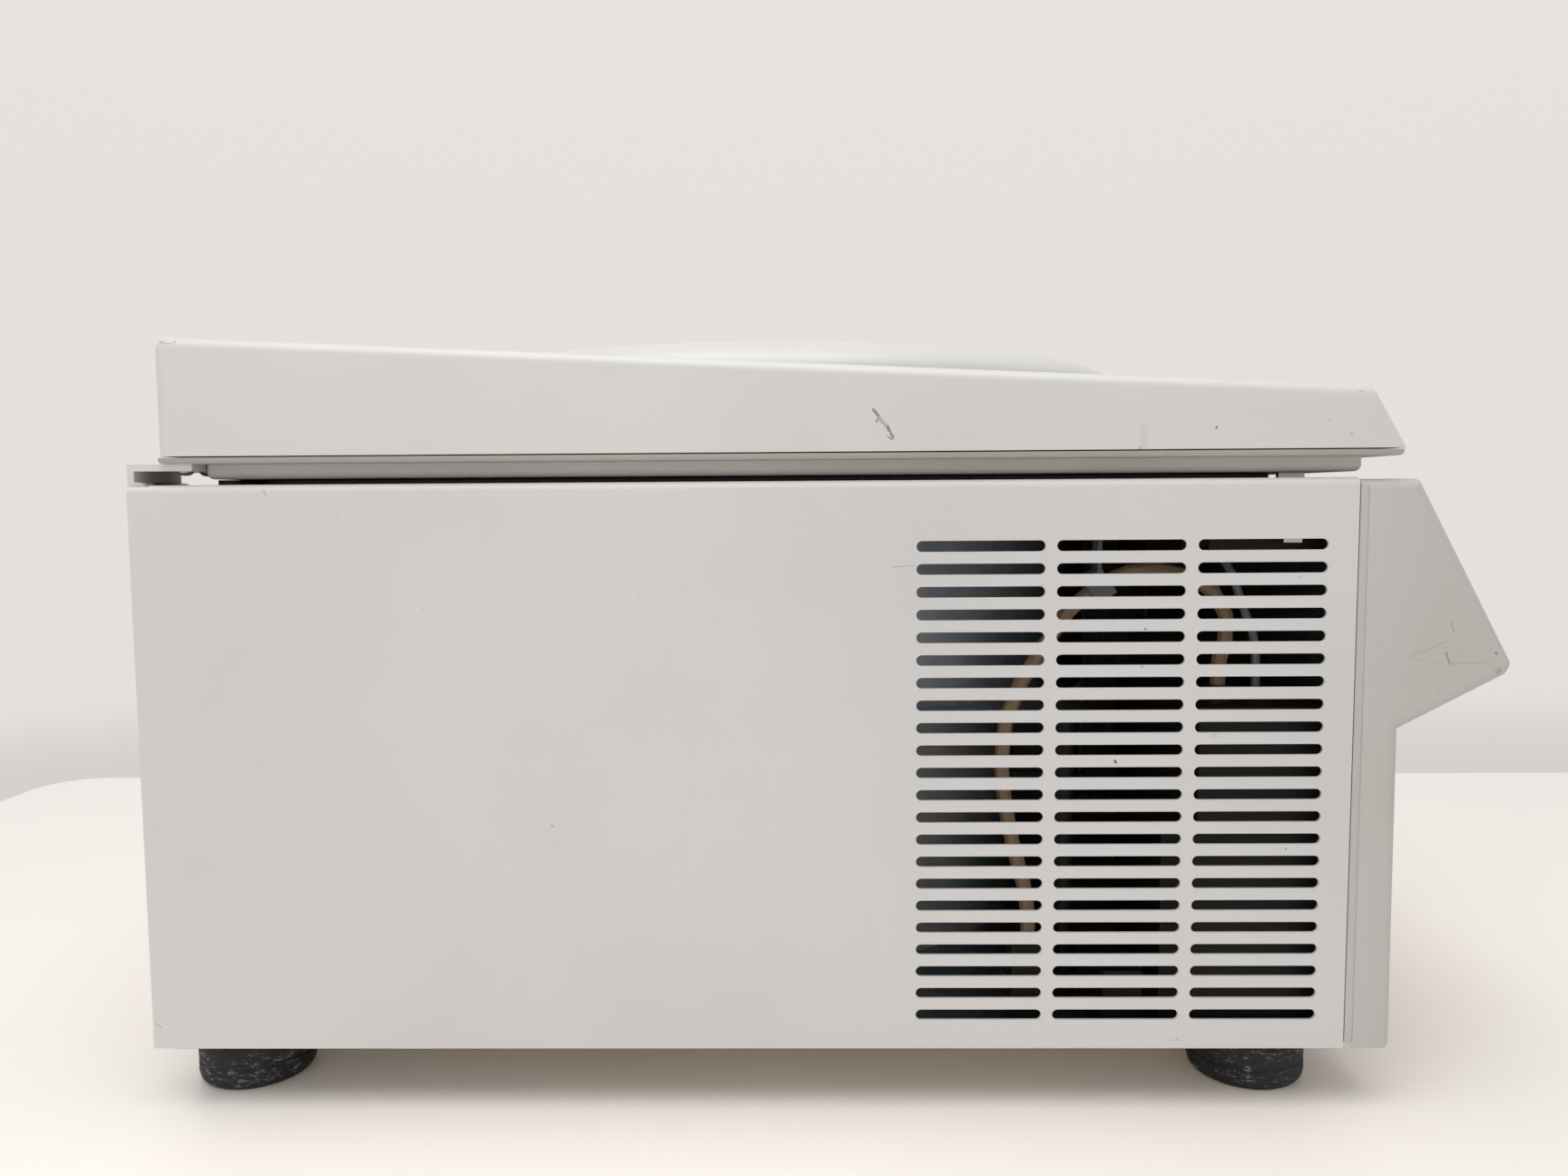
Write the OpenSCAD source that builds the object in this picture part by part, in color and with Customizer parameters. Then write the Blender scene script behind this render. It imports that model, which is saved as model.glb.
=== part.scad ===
// Benchtop microplate centrifuge: sheet-metal casing with louvred sides, moulded
// front console and a rear-hinged lid over a swing-out rotor for two plates.
// Millimetres, Z up, front towards -Y. The origin is on the bench surface, under
// the middle of the overall length and width. "Forward" is the distance in front
// of the casing's middle, and a height is counted from the bench.

/* [Casing] */
// Width of the casing
casing_w = 480; // [460:1:540]
// Length of the casing, front to rear
casing_l = 535.5; // [525:0.5:580]
// Height of the casing sides
casing_h = 254.3; // [250:0.1:270]
// Thickness of the casing and panel sheet
sheet_t = 1.5; // [1:0.1:2]
// Outer radius of the bend between side and deck
bend_r = 3.5; // [2.5:0.1:6]
// How far the rear panel stands in from the rear edge
rear_inset = 9; // [8:0.5:12]
// How far the front bulkhead stands in from the front edge
front_inset = 2.5; // [2:0.1:5]
// Drop of the base pan below the side edges
pan_drop = 1; // [0.5:0.1:2]
// Height of the base pan's upturned edges
pan_edge_h = 12; // [8:1:20]

/* [Vents] */
// Rows of vent slots
vent_rows = 22; // [10:1:22]
// Vertical pitch of the vent slots
vent_pitch = 10; // [8:0.5:10]
// Height of a vent slot
vent_h = 4.8; // [3:0.1:6]
// Length of a vent slot
vent_l = 56; // [40:1:57]
// Distance between the columns of slots
vent_column_pitch = 61; // [60:0.5:65]
// Columns of slots
vent_columns = 3; // [1:1:3]
// Forward distance of the middle column
vent_middle = 166; // [150:1:170]
// Height of the lowest row above the casing's lower edge
vent_low = 15.5; // [12:0.5:20]

/* [Feet] */
// Diameter of a rubber foot
foot_d = 53; // [40:1:60]
// Height of the casing's lower edge above the bench
foot_h = 28; // [20:1:40]
// Inset of a foot's centre from the casing side
foot_inset = 40; // [32:1:50]
// Forward distance of the front feet
foot_front = 239; // [200:1:240]
// Distance of the rear feet behind the middle
foot_rear = 239; // [200:1:240]

/* [Lid] */
// Length of the lid behind the middle of the casing
lid_rear = 254; // [250:0.5:256]
// Forward distance of the lid's front tip
lid_tip = 289; // [285:0.5:295]
// Height of the lid's top at the rear, above the tray
lid_rear_h = 52; // [45:0.5:60]
// Height of the lid's top at the front, above the tray
lid_front_h = 27; // [22:0.5:32]
// Depth of the front bevel
lid_bevel = 15.5; // [10:0.5:20]
// Wall thickness of the lid cover
lid_wall = 3; // [2:0.1:4]
// Radius of the lid's top edges
lid_edge_r = 4; // [2:0.5:6]
// Thickness of the tray under the cover
tray_t = 3.3; // [2.5:0.1:4]
// How far the lid tip stands past the tray
tray_setback = 2; // [1:0.5:4]
// Depth of the inner liner below the tray
liner_drop = 6.5; // [5.5:0.1:8]
// Wall thickness of the liner
liner_t = 2; // [1.5:0.1:2.5]
// Inset of the liner from the lid's sides and rear
liner_inset = 14; // [12:0.5:20]
// Inset of the liner from the lid's tip
liner_front_inset = 13.5; // [12:0.5:20]

/* [Dome] */
// Radius of the round bulge on the lid
dome_r = 210; // [190:1:215]
// Height of the bulge's flat top above the tray
dome_h = 55.2; // [52:0.1:60]
// Width of the rounded shoulder
dome_shoulder = 36; // [20:1:50]
// Height of the rounded shoulder
dome_shoulder_h = 16; // [10:1:22]

/* [Deck] */
// Thickness of the gasket on the deck
gasket_h = 2.4; // [2:0.1:3]
// Width of the gasket strip
gasket_w = 8; // [6:0.5:10]
// Inset of the gasket from the casing sides
gasket_inset = 22; // [20:1:26]
// Forward distance of the gasket's front edge
gasket_front = 244; // [240:0.5:245]
// Distance of the gasket's rear edge behind the middle
gasket_rear = 224; // [220:0.5:225]
// Length of a rubber bumper behind the gasket
bumper_l = 70; // [40:1:80]
// Width of a rubber bumper
bumper_w = 11; // [8:0.5:12]

/* [Console] */
// Gap between casing and console
console_gap = 0.8; // [0.6:0.1:3]
// Depth of the console's top, front to rear
console_top = 26.1; // [20:0.1:30]
// Reach of the nose ahead of the console's rear edge
console_nose = 68.9; // [60:0.1:75]
// Depth of the console's foot
console_foot = 20.9; // [16:0.1:24]
// Height of the nose above the casing's lower edge
nose_h = 172.3; // [165:0.1:180]
// Height of the overhang's lower corner
under_h = 143.7; // [135:0.1:150]
// Drop of the console's top below the deck
console_drop = 0.8; // [0:0.1:2]
// Wall thickness of the console
console_wall = 4; // [3:0.1:4.5]
// Radius of the nose
nose_r = 4.5; // [3:0.5:6]
// Depth of the rebate along the rear edge
rebate_d = 0.8; // [0.4:0.1:1.2]
// Width of the rebate along the rear edge
rebate_w = 3.4; // [1.5:0.1:3.8]

/* [Control panel] */
// Width of the panel recess
panel_w = 300; // [280:1:320]
// Height of the panel recess along the slope
panel_h = 62; // [58:1:66]
// Depth of the panel recess
panel_d = 2; // [1.5:0.1:2.4]
// Width of the display window
display_w = 96; // [80:1:110]
// Height of the display window
display_h = 38; // [30:1:44]
// Distance of the display from the panel's left end
display_inset = 30; // [20:1:32]
// Diameter of a button
button_d = 17; // [14:0.5:20]
// Sideways pitch of the buttons
button_pitch = 34; // [30:1:36]
// Distance of the last button's middle from the panel's right end
button_inset = 36; // [30:1:40]
// Travel of a button
button_travel = 1.2; // [0.8:0.1:1.5]

/* [Chamber] */
// Forward distance of the rotor's axis
axis_forward = 10; // [5:1:14]
// Inner radius of the bowl
bowl_r = 178; // [175:0.5:180]
// Wall thickness of the bowl
bowl_t = 1.5; // [1:0.1:2]
// Width of the bowl's rim on the deck
bowl_rim = 12; // [8:0.5:14]
// Height of the bowl's floor above the bench
bowl_floor = 172; // [170:0.5:174]
// Thickness of the plate under the bowl
chamber_plate_t = 4; // [3:0.5:6]
// Gap between the bowl and the guard ring
ring_gap = 3.5; // [3:0.5:4.5]
// Wall thickness of the guard ring
ring_t = 8; // [6:0.5:9]
// Height of the guard ring
ring_h = 88; // [70:1:95]
// Diameter of a post under the chamber plate
post_d = 16; // [12:1:20]
// Inset of the posts from the guard ring's sides
post_inset = 13; // [10:1:20]
// Distance of the posts ahead of and behind the axis
post_y = 145; // [135:1:150]
// Outer radius of the drive shroud
shroud_r = 150; // [140:1:152]
// Wall thickness of the drive shroud
shroud_t = 1.5; // [1:0.1:3]

/* [Drive] */
// Radius of the motor housing
motor_r = 62; // [55:1:70]
// Height of the motor housing
motor_h = 84; // [80:1:86]
// Wall thickness of the motor housing
motor_wall = 6; // [5:0.5:8]
// Thickness of the plate that carries the motor
motor_plate_t = 6; // [4:0.5:8]
// Radius of the plate that carries the motor
motor_plate_r = 108; // [100:1:115]
// Height of a rubber damper
damper_h = 34; // [30:1:35]
// Diameter of a rubber damper
damper_d = 32; // [24:1:36]
// Diameter of the drive shaft
shaft_d = 16; // [14:0.5:20]
// Running clearance of a shaft or pin in its bore
fit_gap = 0.05; // [0.03:0.01:0.08]
// Outer diameter of a motor bearing
bearing_d = 40; // [36:1:44]
// Width of a motor bearing
bearing_w = 10; // [8:0.5:12]
// Gap between the motor's core and its winding
air_gap = 1; // [0.5:0.1:2]
// Radius of the motor's core
core_r = 34; // [28:1:38]

/* [Rotor] */
// Height of the carrier pivots above the bench
pivot_z = 234; // [233:0.5:235]
// Distance of a carrier pivot from the axis
pivot_r = 88; // [86:0.5:92]
// Diameter of a pivot pin
pivot_d = 10; // [8:0.5:12]
// Half the space between the yoke's arms
arm_inner = 73; // [72.5:0.1:75]
// Thickness of a yoke arm
arm_t = 8; // [6:0.5:10]
// Height of a yoke arm
arm_h = 24; // [20:1:26]
// Reach of a yoke arm past the pivot
arm_reach = 12; // [9:0.5:14]
// Radius of the rotor hub
hub_r = 32; // [28:0.5:34]
// Height of the rotor hub
hub_h = 30; // [26:1:34]
// Diameter of the rotor nut
nut_d = 30; // [24:1:36]
// Height of the rotor nut
nut_h = 14; // [10:1:16]

/* [Carriers] */
// Length of a microplate
plate_l = 127.8; // [127:0.1:128]
// Width of a microplate
plate_w = 85.5; // [85:0.1:86]
// Play of a microplate in its carrier
plate_play = 0.7; // [0.4:0.1:0.8]
// Wall thickness of a carrier
carrier_t = 2; // [1.5:0.1:2.2]
// Depth of a carrier below its pivots
carrier_depth = 36; // [30:0.5:37]
// Height of the carrier's long walls above its floor
carrier_lip = 12; // [8:0.5:20]
// Length of a carrier's pivot boss
boss_l = 5; // [4:0.1:5]
// Radius of a carrier's pivot boss
boss_r = 9; // [8:0.5:10]

/* [Hinges] */
// Inset of a hinge bracket from the casing side
hinge_inset = 3; // [2:0.5:6]
// Width of a hinge bracket
hinge_w = 40; // [30:1:50]
// Thickness of a hinge bracket
hinge_t = 3; // [2.5:0.1:3.2]
// Diameter of a hinge pin
hinge_pin_d = 4; // [3.5:0.1:4.5]
// Diameter of a hinge knuckle
knuckle_d = 8.4; // [8:0.1:8.8]
// Distance of the hinge axis behind the middle
hinge_rear = 264.6; // [264.5:0.1:266]
// Height of the hinge axis below the deck
hinge_below = 2.8; // [2:0.1:4]
// Length of a bracket's flange under the tray
hinge_flange = 28.8; // [26:0.1:30]
// End play between knuckles
knuckle_play = 0.4; // [0.3:0.1:0.8]

/* [Latch] */
// Inset of the two strikers from the casing sides
striker_inset = 40; // [35:1:50]
// Forward distance of the strikers
striker_forward = 254; // [253:0.5:255]
// Thickness of a striker
striker_t = 3; // [2.5:0.1:4]
// Width of a striker
striker_w = 12; // [11:0.5:13]
// Length of a striker below the liner
striker_l = 35; // [33:0.5:37]
// Clearance round a striker in its deck hole
striker_gap = 3; // [2:0.5:3.5]
// Height of the latch bar
bar_h = 10; // [8:0.5:10]
// Depth of the latch bar
bar_w = 8; // [6:0.5:8]
// Travel of the latch bar
latch_travel = 8; // [7:0.5:8.5]
// Thickness of a latch guide's cheek
cheek_t = 3; // [2:0.1:4]
// Clearance of the latch bar in its guides
bar_gap = 0.3; // [0.2:0.05:0.5]

/* [Inside] */
// Width of the drive electronics box
box_w = 138; // [120:1:140]
// Depth of the drive electronics box
box_d = 55; // [50:1:56]
// Height of the drive electronics box
box_h = 150; // [130:1:155]
// Gap between the electronics box and the casing side
box_side_gap = 10; // [8:0.5:14]
// Diameter of the drive cable
cable_d = 7; // [5:0.5:7]
// Diameter of the latch cable
latch_cable_d = 4; // [3:0.5:4.5]
// Inset of the drive cable from the casing side
cable_inset = 25.5; // [24:0.5:27]
// Width of a terminal block
terminal_w = 18; // [14:1:20]

/* [Rear fittings] */
// Side of the cooling fan's square frame
fan_side = 92; // [80:1:100]
// Depth of the cooling fan
fan_depth = 25; // [20:1:32]
// Sideways place of the fan
fan_x = 95; // [80:1:110]
// Height of the fan's middle above the bench
fan_z = 105; // [90:1:120]
// Blades of the fan
fan_blades = 7; // [5:1:9]
// Sideways place of the power entry
entry_x = -120; // [-140:1:-100]
// Height of the power entry's middle above the bench
entry_z = 80; // [70:1:100]
// Width of the power entry
entry_w = 50; // [50:1:56]
// Height of the power entry
entry_h = 72; // [72:1:80]
// Travel of the fuse drawer
fuse_travel = 16; // [10:1:18]

/* [Fasteners] */
// Diameter of a screw head
screw_head_d = 7; // [6:0.5:8]
// Height of a screw head
screw_head_h = 2; // [1.5:0.1:2.5]
// Diameter of a screw's shank
screw_d = 3; // [2.5:0.1:3.5]

/* [Hidden] */

$fn = 64;
cut = 1;
half_w = casing_w / 2;
half_l = casing_l / 2;
side_in = half_w - sheet_t;
deck_top = foot_h + casing_h;
deck_low = deck_top - sheet_t;
pan_low = foot_h - pan_drop;
pan_top = pan_low + sheet_t;
panel_rear = half_l - rear_inset;
panel_front = half_l - front_inset;
bulkhead_in = panel_front - sheet_t;
sheet_gap = 0.2;

liner_rear = lid_rear - liner_inset;
liner_front = lid_tip - liner_front_inset;
liner_half = half_w - liner_inset;
liner_low = deck_top + gasket_h + 0.3;
tray_low = liner_low + liner_drop;
tray_top = tray_low + tray_t;
tray_front = lid_tip - tray_setback;

console_rear = half_l + console_gap;
console_h = deck_top - console_drop;
slope_top = console_rear + console_top;
slope_tip = console_rear + console_nose;
tip_z = foot_h + nose_h;
slope_run = slope_tip - slope_top;
slope_rise = console_h - tip_z;
slope_angle = atan2(slope_run, slope_rise);
slope_mid_f = (slope_top + slope_tip) / 2;
slope_mid_z = (console_h + tip_z) / 2;
button_x = panel_w / 2 - button_inset - 3 * button_pitch;
button_y = -8;
display_x = display_inset + display_w / 2 - panel_w / 2;
button_gap = 0.3;
board_depth = console_wall + 5.6;
board_t = 1.6;
overlay_t = panel_d - 0.4;

hinge_z = deck_top - hinge_below;
bracket_back = hinge_rear + knuckle_d / 2;
bracket_top = tray_low;
hinge_out = half_w - hinge_inset;
hinge_mid = hinge_out - hinge_w / 2;
knuckle_l = hinge_w / 4;

rear_reach = bracket_back;
front_reach = slope_tip;
casing_mid_y = (front_reach - rear_reach) / 2;

bowl_low = bowl_floor - bowl_t;
plate_low = bowl_low - chamber_plate_t;
shroud_h = plate_low - pan_top;
motor_plate_low = pan_top + damper_h;
motor_low = motor_plate_low + motor_plate_t;
motor_top = motor_low + motor_h;
shaft_low = motor_low + motor_wall + 2;
hub_low = pivot_z - hub_h / 2;
hub_top = hub_low + hub_h;
shaft_top = hub_top + 10;
seal_hole_r = shaft_d / 2 + 14;
winding_low = motor_low + motor_wall + bearing_w;
winding_top = motor_top - motor_wall - bearing_w;
ring_r = bowl_r + bowl_t + ring_gap;
post_x = ring_r + ring_t - post_inset;

carrier_in_x = (plate_l + 2 * plate_play) / 2;
carrier_in_y = (plate_w + 2 * plate_play) / 2;
carrier_out_x = carrier_in_x + carrier_t;
carrier_out_y = carrier_in_y + carrier_t;
pin_in = carrier_out_x + 0.4;
pin_l = arm_inner + 2 - pin_in;
pin_middle = pin_in + pin_l / 2;

striker_x = half_w - striker_inset;
bar_low = deck_low - 26.8;
bar_forward = striker_forward - 16;
striker_low = liner_low - striker_l;
finger_h = bar_h / 2;
finger_w = 4;
finger_z = bar_low + bar_h / 2;
finger_reach = striker_t / 2 + 1.5;
guide_low = bar_low - 4;
guide_back = striker_forward - 45;
guide_offsets = [-24, 14];
plunger_x = 20;
plunger_z = bar_low - 14;
plunger_r = 3;
latch_motor_l = 60;
latch_motor_gap = 14;

box_out = side_in - box_side_gap;
box_front = bulkhead_in - 4;
box_back = box_front - box_d;
box_low = pan_top + sheet_t;
box_top = box_low + box_h;
bracket_h = 95;
bracket_lip = 16;
fan_hole_r = fan_side / 2 - 4;
fan_pin_r = 3;

entry_front = panel_rear + 3;
entry_body_w = entry_w - 12;
entry_body_h = entry_h - 8;
inlet_d = 17;
inlet_z = entry_z - entry_h / 4 + 2;
switch_gap = 0.8;
switch_h = 24;
switch_w = 12;
switch_x = entry_x - 10;
switch_y = entry_front - 4;
switch_z = entry_z + entry_h / 4;
fuse_w = 16;
fuse_h = 12;
fuse_x = entry_x + 9;

// Route of the drive cable, as distances ahead of its start and heights above the casing's lower edge
cable_route = [[0, 160], [0, 169], [3, 181], [3, 192], [-3, 203], [-14, 210], [-28, 213], [-42, 212],
    [-56, 206], [-69, 194], [-80, 178], [-90, 162], [-97, 144], [-99, 124], [-97, 104], [-93, 84],
    [-88, 66], [-86, 52], [-86, 40]];
cable_x = -side_in + cable_inset;
cable_forward = box_back + 13.25;
cable_points = [for (r = cable_route) [cable_x, cable_forward + r[0], foot_h + r[1]]];
second_terminal = cable_points[18] + [0, 42, -12];
gland_h = cable_points[0][2] - box_top;

// Route of the latch cable, from the top of the electronics box to the latch motor's end
latch_start = [cable_x + 9, box_back + 34, box_top];
latch_end = [plunger_x - latch_motor_gap - latch_motor_l, bar_forward + bar_w / 2, plunger_z - 1];
latch_bend = [[0, 0, 0], [0, 0, 14], [0, -0.5, 25], [0, -2.5, 33], [0, -5.5, 40], [0, -9, 50], [1, -12, 59],
    [4, -13.5, 63], [10, -14.2, 65.5], [18, -14.2, 66]];
latch_run = [[-66, -10, 5], [-48, -5, 2], [-30, -2, 0.5], [-12, 0, 0], [0, 0, 0]];
latch_points = concat([for (r = latch_bend) latch_start + r], [for (r = latch_run) latch_end + r]);
cable_end = cable_points[len(cable_points) - 1];
clip_at = cable_points[8];
clip_run = cable_points[9] - cable_points[7];
clip_tilt = atan2(clip_run[2], -clip_run[1]);

painted = [0.80, 0.795, 0.78];
console_paint = [0.745, 0.74, 0.72];
lid_paint = [0.81, 0.805, 0.79];
tray_grey = [0.66, 0.66, 0.65];
rubber_black = [0.09, 0.09, 0.09];
steel = [0.62, 0.65, 0.69];
bright_steel = [0.76, 0.78, 0.80];
dark = [0.13, 0.13, 0.14];
beige = [0.80, 0.74, 0.60];

// Places its children in the frame whose origin is under the overall middle
module placed() {
    translate([0, casing_mid_y, 0]) children();
}

// A box from ranges of sideways place, forward distance and height
module block(x, f, z) {
    translate([x[0], -f[1], z[0]]) cube([x[1] - x[0], f[1] - f[0], z[1] - z[0]]);
}

// Extrudes an outline of forward distance and height across the width
module across(w) {
    rotate([90, 0, 270]) translate([0, 0, -w / 2]) linear_extrude(w) children();
}

// A rectangle with round corners, from exact circles and squares
module round_rect(w, h, r) {
    square([w - 2 * r, h], center = true);
    square([w, h - 2 * r], center = true);
    for (x = [-1, 1], y = [-1, 1]) {
        translate([x * (w / 2 - r), y * (h / 2 - r)]) circle(r);
    }
}

// A slot with full-round ends
module slot(l, h) {
    square([l - h, h], center = true);
    for (x = [-1, 1]) {
        translate([x * (l - h) / 2, 0]) circle(h / 2);
    }
}

// Unit vector from one outline point to another
function unit_to(a, b) = (b - a) / norm(b - a);

// Arc points that round one corner of an outline with the given radius
function corner_arc(a, p, b, r, steps = 6) =
    let(
        to_a = unit_to(p, a),
        to_b = unit_to(p, b),
        half = acos(to_a * to_b) / 2,
        reach = r / tan(half),
        middle = p + (to_a + to_b) / norm(to_a + to_b) * r / sin(half),
        start = p + to_a * reach - middle,
        end = p + to_b * reach - middle,
        sweep = acos(start * end / (r * r)),
        turn = start[0] * end[1] - start[1] * end[0] > 0 ? 1 : -1
    )
    [for (i = [0:steps]) let(t = turn * sweep * i / steps)
        middle + [start[0] * cos(t) - start[1] * sin(t), start[0] * sin(t) + start[1] * cos(t)]];

// An outline whose corners are rounded, with one radius for each point
function rounded(points, radii) =
    let(n = len(points))
    [for (i = [0:n - 1]) for (q = radii[i] == 0 ? [points[i]]
        : corner_arc(points[(i + n - 1) % n], points[i], points[(i + 1) % n], radii[i])) q];

// The same outline drawn in by a wall's thickness, for points in clockwise order
function drawn_in(points, t) =
    let(n = len(points))
    [for (i = [0:n - 1]) let(
        d1 = unit_to(points[(i + n - 1) % n], points[i]),
        d2 = unit_to(points[i], points[(i + 1) % n]),
        n1 = [d1[1], -d1[0]],
        n2 = [d2[1], -d2[0]]
    ) points[i] + (n1 + n2) * t / (1 + n1 * n2)];

// A tube swept along its points, with closed ends
function side_of(d) = cross(d, [1, 1, -1]) / norm(cross(d, [1, 1, -1]));
function along(points, i) =
    unit_to(points[max(i - 1, 0)], points[min(i + 1, len(points) - 1)]);
module tube(points, r, sides = 8) {
    n = len(points);
    rings = [for (i = [0:n - 1]) let(d = along(points, i), s = side_of(d), c = cross(d, s))
        for (k = [0:sides - 1]) points[i] + r * (cos(360 * k / sides) * s + sin(360 * k / sides) * c)];
    walls = [for (i = [0:n - 2], k = [0:sides - 1]) let(
        a = i * sides + k, b = i * sides + (k + 1) % sides)
        each [[a, b, b + sides], [a, b + sides, a + sides]]];
    first = [for (k = [1:sides - 2]) [0, k + 1, k]];
    last = [for (k = [1:sides - 2]) [(n - 1) * sides, (n - 1) * sides + k, (n - 1) * sides + k + 1]];
    polyhedron(rings, [for (f = concat(walls, first, last)) [f[2], f[1], f[0]]]);
}

// Places its children on the middle of the console's slope, Z pointing outwards
module on_slope() {
    translate([0, -slope_mid_f, slope_mid_z]) rotate([90 - slope_angle, 0, 0]) children();
}

// Sideways places of the four buttons
function button_place(i) = button_x + i * button_pitch;

// Casing: both sides and the deck bent from one sheet
module casing() {
    color(painted) difference() {
        intersection() {
            block([-half_w, half_w], [-half_l, half_l], [foot_h, deck_top]);
            casing_solid(0);
        }
        casing_solid(sheet_t);
        vent_cuts();
        translate([0, -axis_forward, deck_low - cut])
            cylinder(h = sheet_t + 2 * cut, r = bowl_r + bowl_t + 0.5);
        for (x = [-striker_x, striker_x]) {
            block([x - striker_t / 2 - striker_gap, x + striker_t / 2 + striker_gap],
                [striker_forward - striker_w / 2 - striker_gap,
                striker_forward + striker_w / 2 + striker_gap],
                [deck_low - cut, deck_top + cut]);
        }
        for (s = [-1, 1]) {
            hinge_notch(s);
        }
    }
}

// The casing's outer form, drawn in by an inset at the sides and the top
module casing_solid(inset) {
    w = casing_w - 2 * inset;
    top = deck_top - inset;
    r = bend_r - inset;
    rotate([90, 0, 0]) translate([0, 0, -half_l - (inset > 0 ? cut : 0)])
        linear_extrude(casing_l + (inset > 0 ? 2 * cut : 0)) {
            translate([-w / 2, foot_h - cut]) square([w, top - r - foot_h + cut]);
            translate([-w / 2 + r, foot_h - cut]) square([w - 2 * r, top - foot_h + cut]);
            for (x = [-1, 1]) {
                translate([x * (w / 2 - r), top - r]) circle(r);
            }
        }
}

// Rows of air slots through the left side
module vent_cuts() {
    for (column = [0:vent_columns - 1], row = [0:vent_rows - 1]) {
        forward = vent_middle + (column - (vent_columns - 1) / 2) * vent_column_pitch;
        translate([0, -forward, foot_h + vent_low + row * vent_pitch]) rotate([90, 0, 90])
            translate([0, 0, -half_w - cut]) linear_extrude(sheet_t + 2 * cut) slot(vent_l, vent_h);
    }
}

module hinge_notch(s) {
    notch = [hinge_out - hinge_w - 2, side_in];
    x = s > 0 ? notch : [-notch[1], -notch[0]];
    block(x, [-half_l - cut, -panel_rear], [deck_low - bend_r, deck_top + cut]);
}

module base_pan() {
    w = side_in - sheet_gap;
    front = bulkhead_in;
    rear = panel_rear - sheet_t;
    color(steel) difference() {
        block([-w, w], [-rear, front], [pan_low, pan_top + pan_edge_h]);
        block([-w + sheet_t, w - sheet_t], [-rear + sheet_t, front - sheet_t],
            [pan_top, pan_top + pan_edge_h + cut]);
        for (p = foot_places()) {
            translate([p[0], -p[1], pan_low - cut]) cylinder(h = sheet_t + 2 * cut, d = screw_d + 0.2);
        }
    }
}

// Sideways and forward places of the four feet
function foot_places() = [for (x = [-1, 1], f = [foot_front, -foot_rear]) [x * (half_w - foot_inset), f]];

module rear_panel() {
    color(painted) difference() {
        block([-side_in, side_in], [-panel_rear, -panel_rear + sheet_t], [pan_low, deck_low]);
        fan_grille();
        block([entry_x - entry_body_w / 2, entry_x + entry_body_w / 2],
            [-panel_rear - cut, -panel_rear + sheet_t + cut],
            [entry_z - entry_body_h / 2, entry_z + entry_body_h / 2]);
        for (p = rear_screw_places()) {
            translate([p[0], panel_rear + cut, p[1]]) rotate([90, 0, 0])
                cylinder(h = sheet_t + 2 * cut, d = screw_d + 0.2);
        }
    }
}

// Ring-shaped openings in front of the fan, crossed by four bars
module fan_grille() {
    translate([fan_x, panel_rear + cut, fan_z]) rotate([90, 0, 0]) difference() {
        linear_extrude(sheet_t + 2 * cut) difference() {
            union() {
                for (r = [12:8:fan_hole_r - 5]) {
                    difference() {
                        circle(r + 5);
                        circle(r);
                    }
                }
            }
            for (a = [45, 135]) {
                rotate(a) square([3, 2 * fan_side], center = true);
            }
        }
    }
}

// Sideways place and height of the rear panel's screws
function rear_screw_places() =
    [for (x = [-1, 0, 1], z = [pan_top + 30, deck_low - 60]) [x * (side_in - 14), z]];

module front_bulkhead() {
    color(steel) difference() {
        block([-side_in, side_in], [bulkhead_in, panel_front], [pan_low, deck_low]);
        translate([0, -bulkhead_in + cut, deck_low - 70]) rotate([90, 0, 0])
            linear_extrude(sheet_t + 2 * cut) round_rect(120, 60, 8);
    }
}

// Corner points of the console's side profile, clockwise from the rear of the top
function console_points() = [[console_rear, console_h], [slope_top, console_h], [slope_tip, tip_z],
    [slope_tip - 3, tip_z - 4.8], [console_rear + console_foot - 0.8, foot_h + under_h],
    [console_rear + console_foot, foot_h], [console_rear + 2.5, foot_h], [console_rear, foot_h + 2.5]];

module front_console() {
    outline = console_points();
    cavity_w = casing_w - 2 * console_wall;
    inner = drawn_in(outline, console_wall);
    color(console_paint) {
        difference() {
            across(casing_w) polygon(rounded(outline, [0, 2.5, nose_r, 2.5, 0, 3, 0, 0]));
            across(cavity_w) polygon(inner);
            block([-cavity_w / 2, cavity_w / 2], [console_rear - cut, console_rear + console_wall + cut],
                [foot_h + console_wall + 3, console_h - console_wall]);
            for (s = [-1, 1]) {
                rebate(s);
            }
            on_slope() {
                translate([0, 0, -panel_d]) linear_extrude(panel_d + cut) round_rect(panel_w, panel_h, 6);
                translate([display_x, 0, -console_wall - cut])
                    linear_extrude(console_wall + cut) square([display_w - 8, display_h - 8], center = true);
                for (i = [0:3]) {
                    translate([button_place(i), button_y, -console_wall - cut])
                        cylinder(h = console_wall + cut, d = button_d + 2 * button_gap);
                }
            }
        }
        for (x = [-1, 1], z = [foot_h + 22, foot_h + 120]) {
            translate([x * (half_w - 40), -panel_front, z]) rotate([90, 0, 0])
                cylinder(h = console_rear + console_foot - panel_front - console_wall / 2, r = 6);
        }
        on_slope() for (x = [-1, 1], y = [-1, 1]) {
            translate([x * (panel_w / 2 - 8), y * (panel_h / 2 - 8), -board_depth])
                cylinder(h = board_depth - console_wall + 0.5, r = 3);
        }
    }
}

// A shallow step along the console's rear edge
module rebate(s) {
    x = s > 0 ? [half_w - rebate_d, half_w + cut] : [-half_w - cut, -half_w + rebate_d];
    block(x, [console_rear - cut, console_rear + rebate_w], [foot_h + 2.5, console_h + cut]);
}

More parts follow.
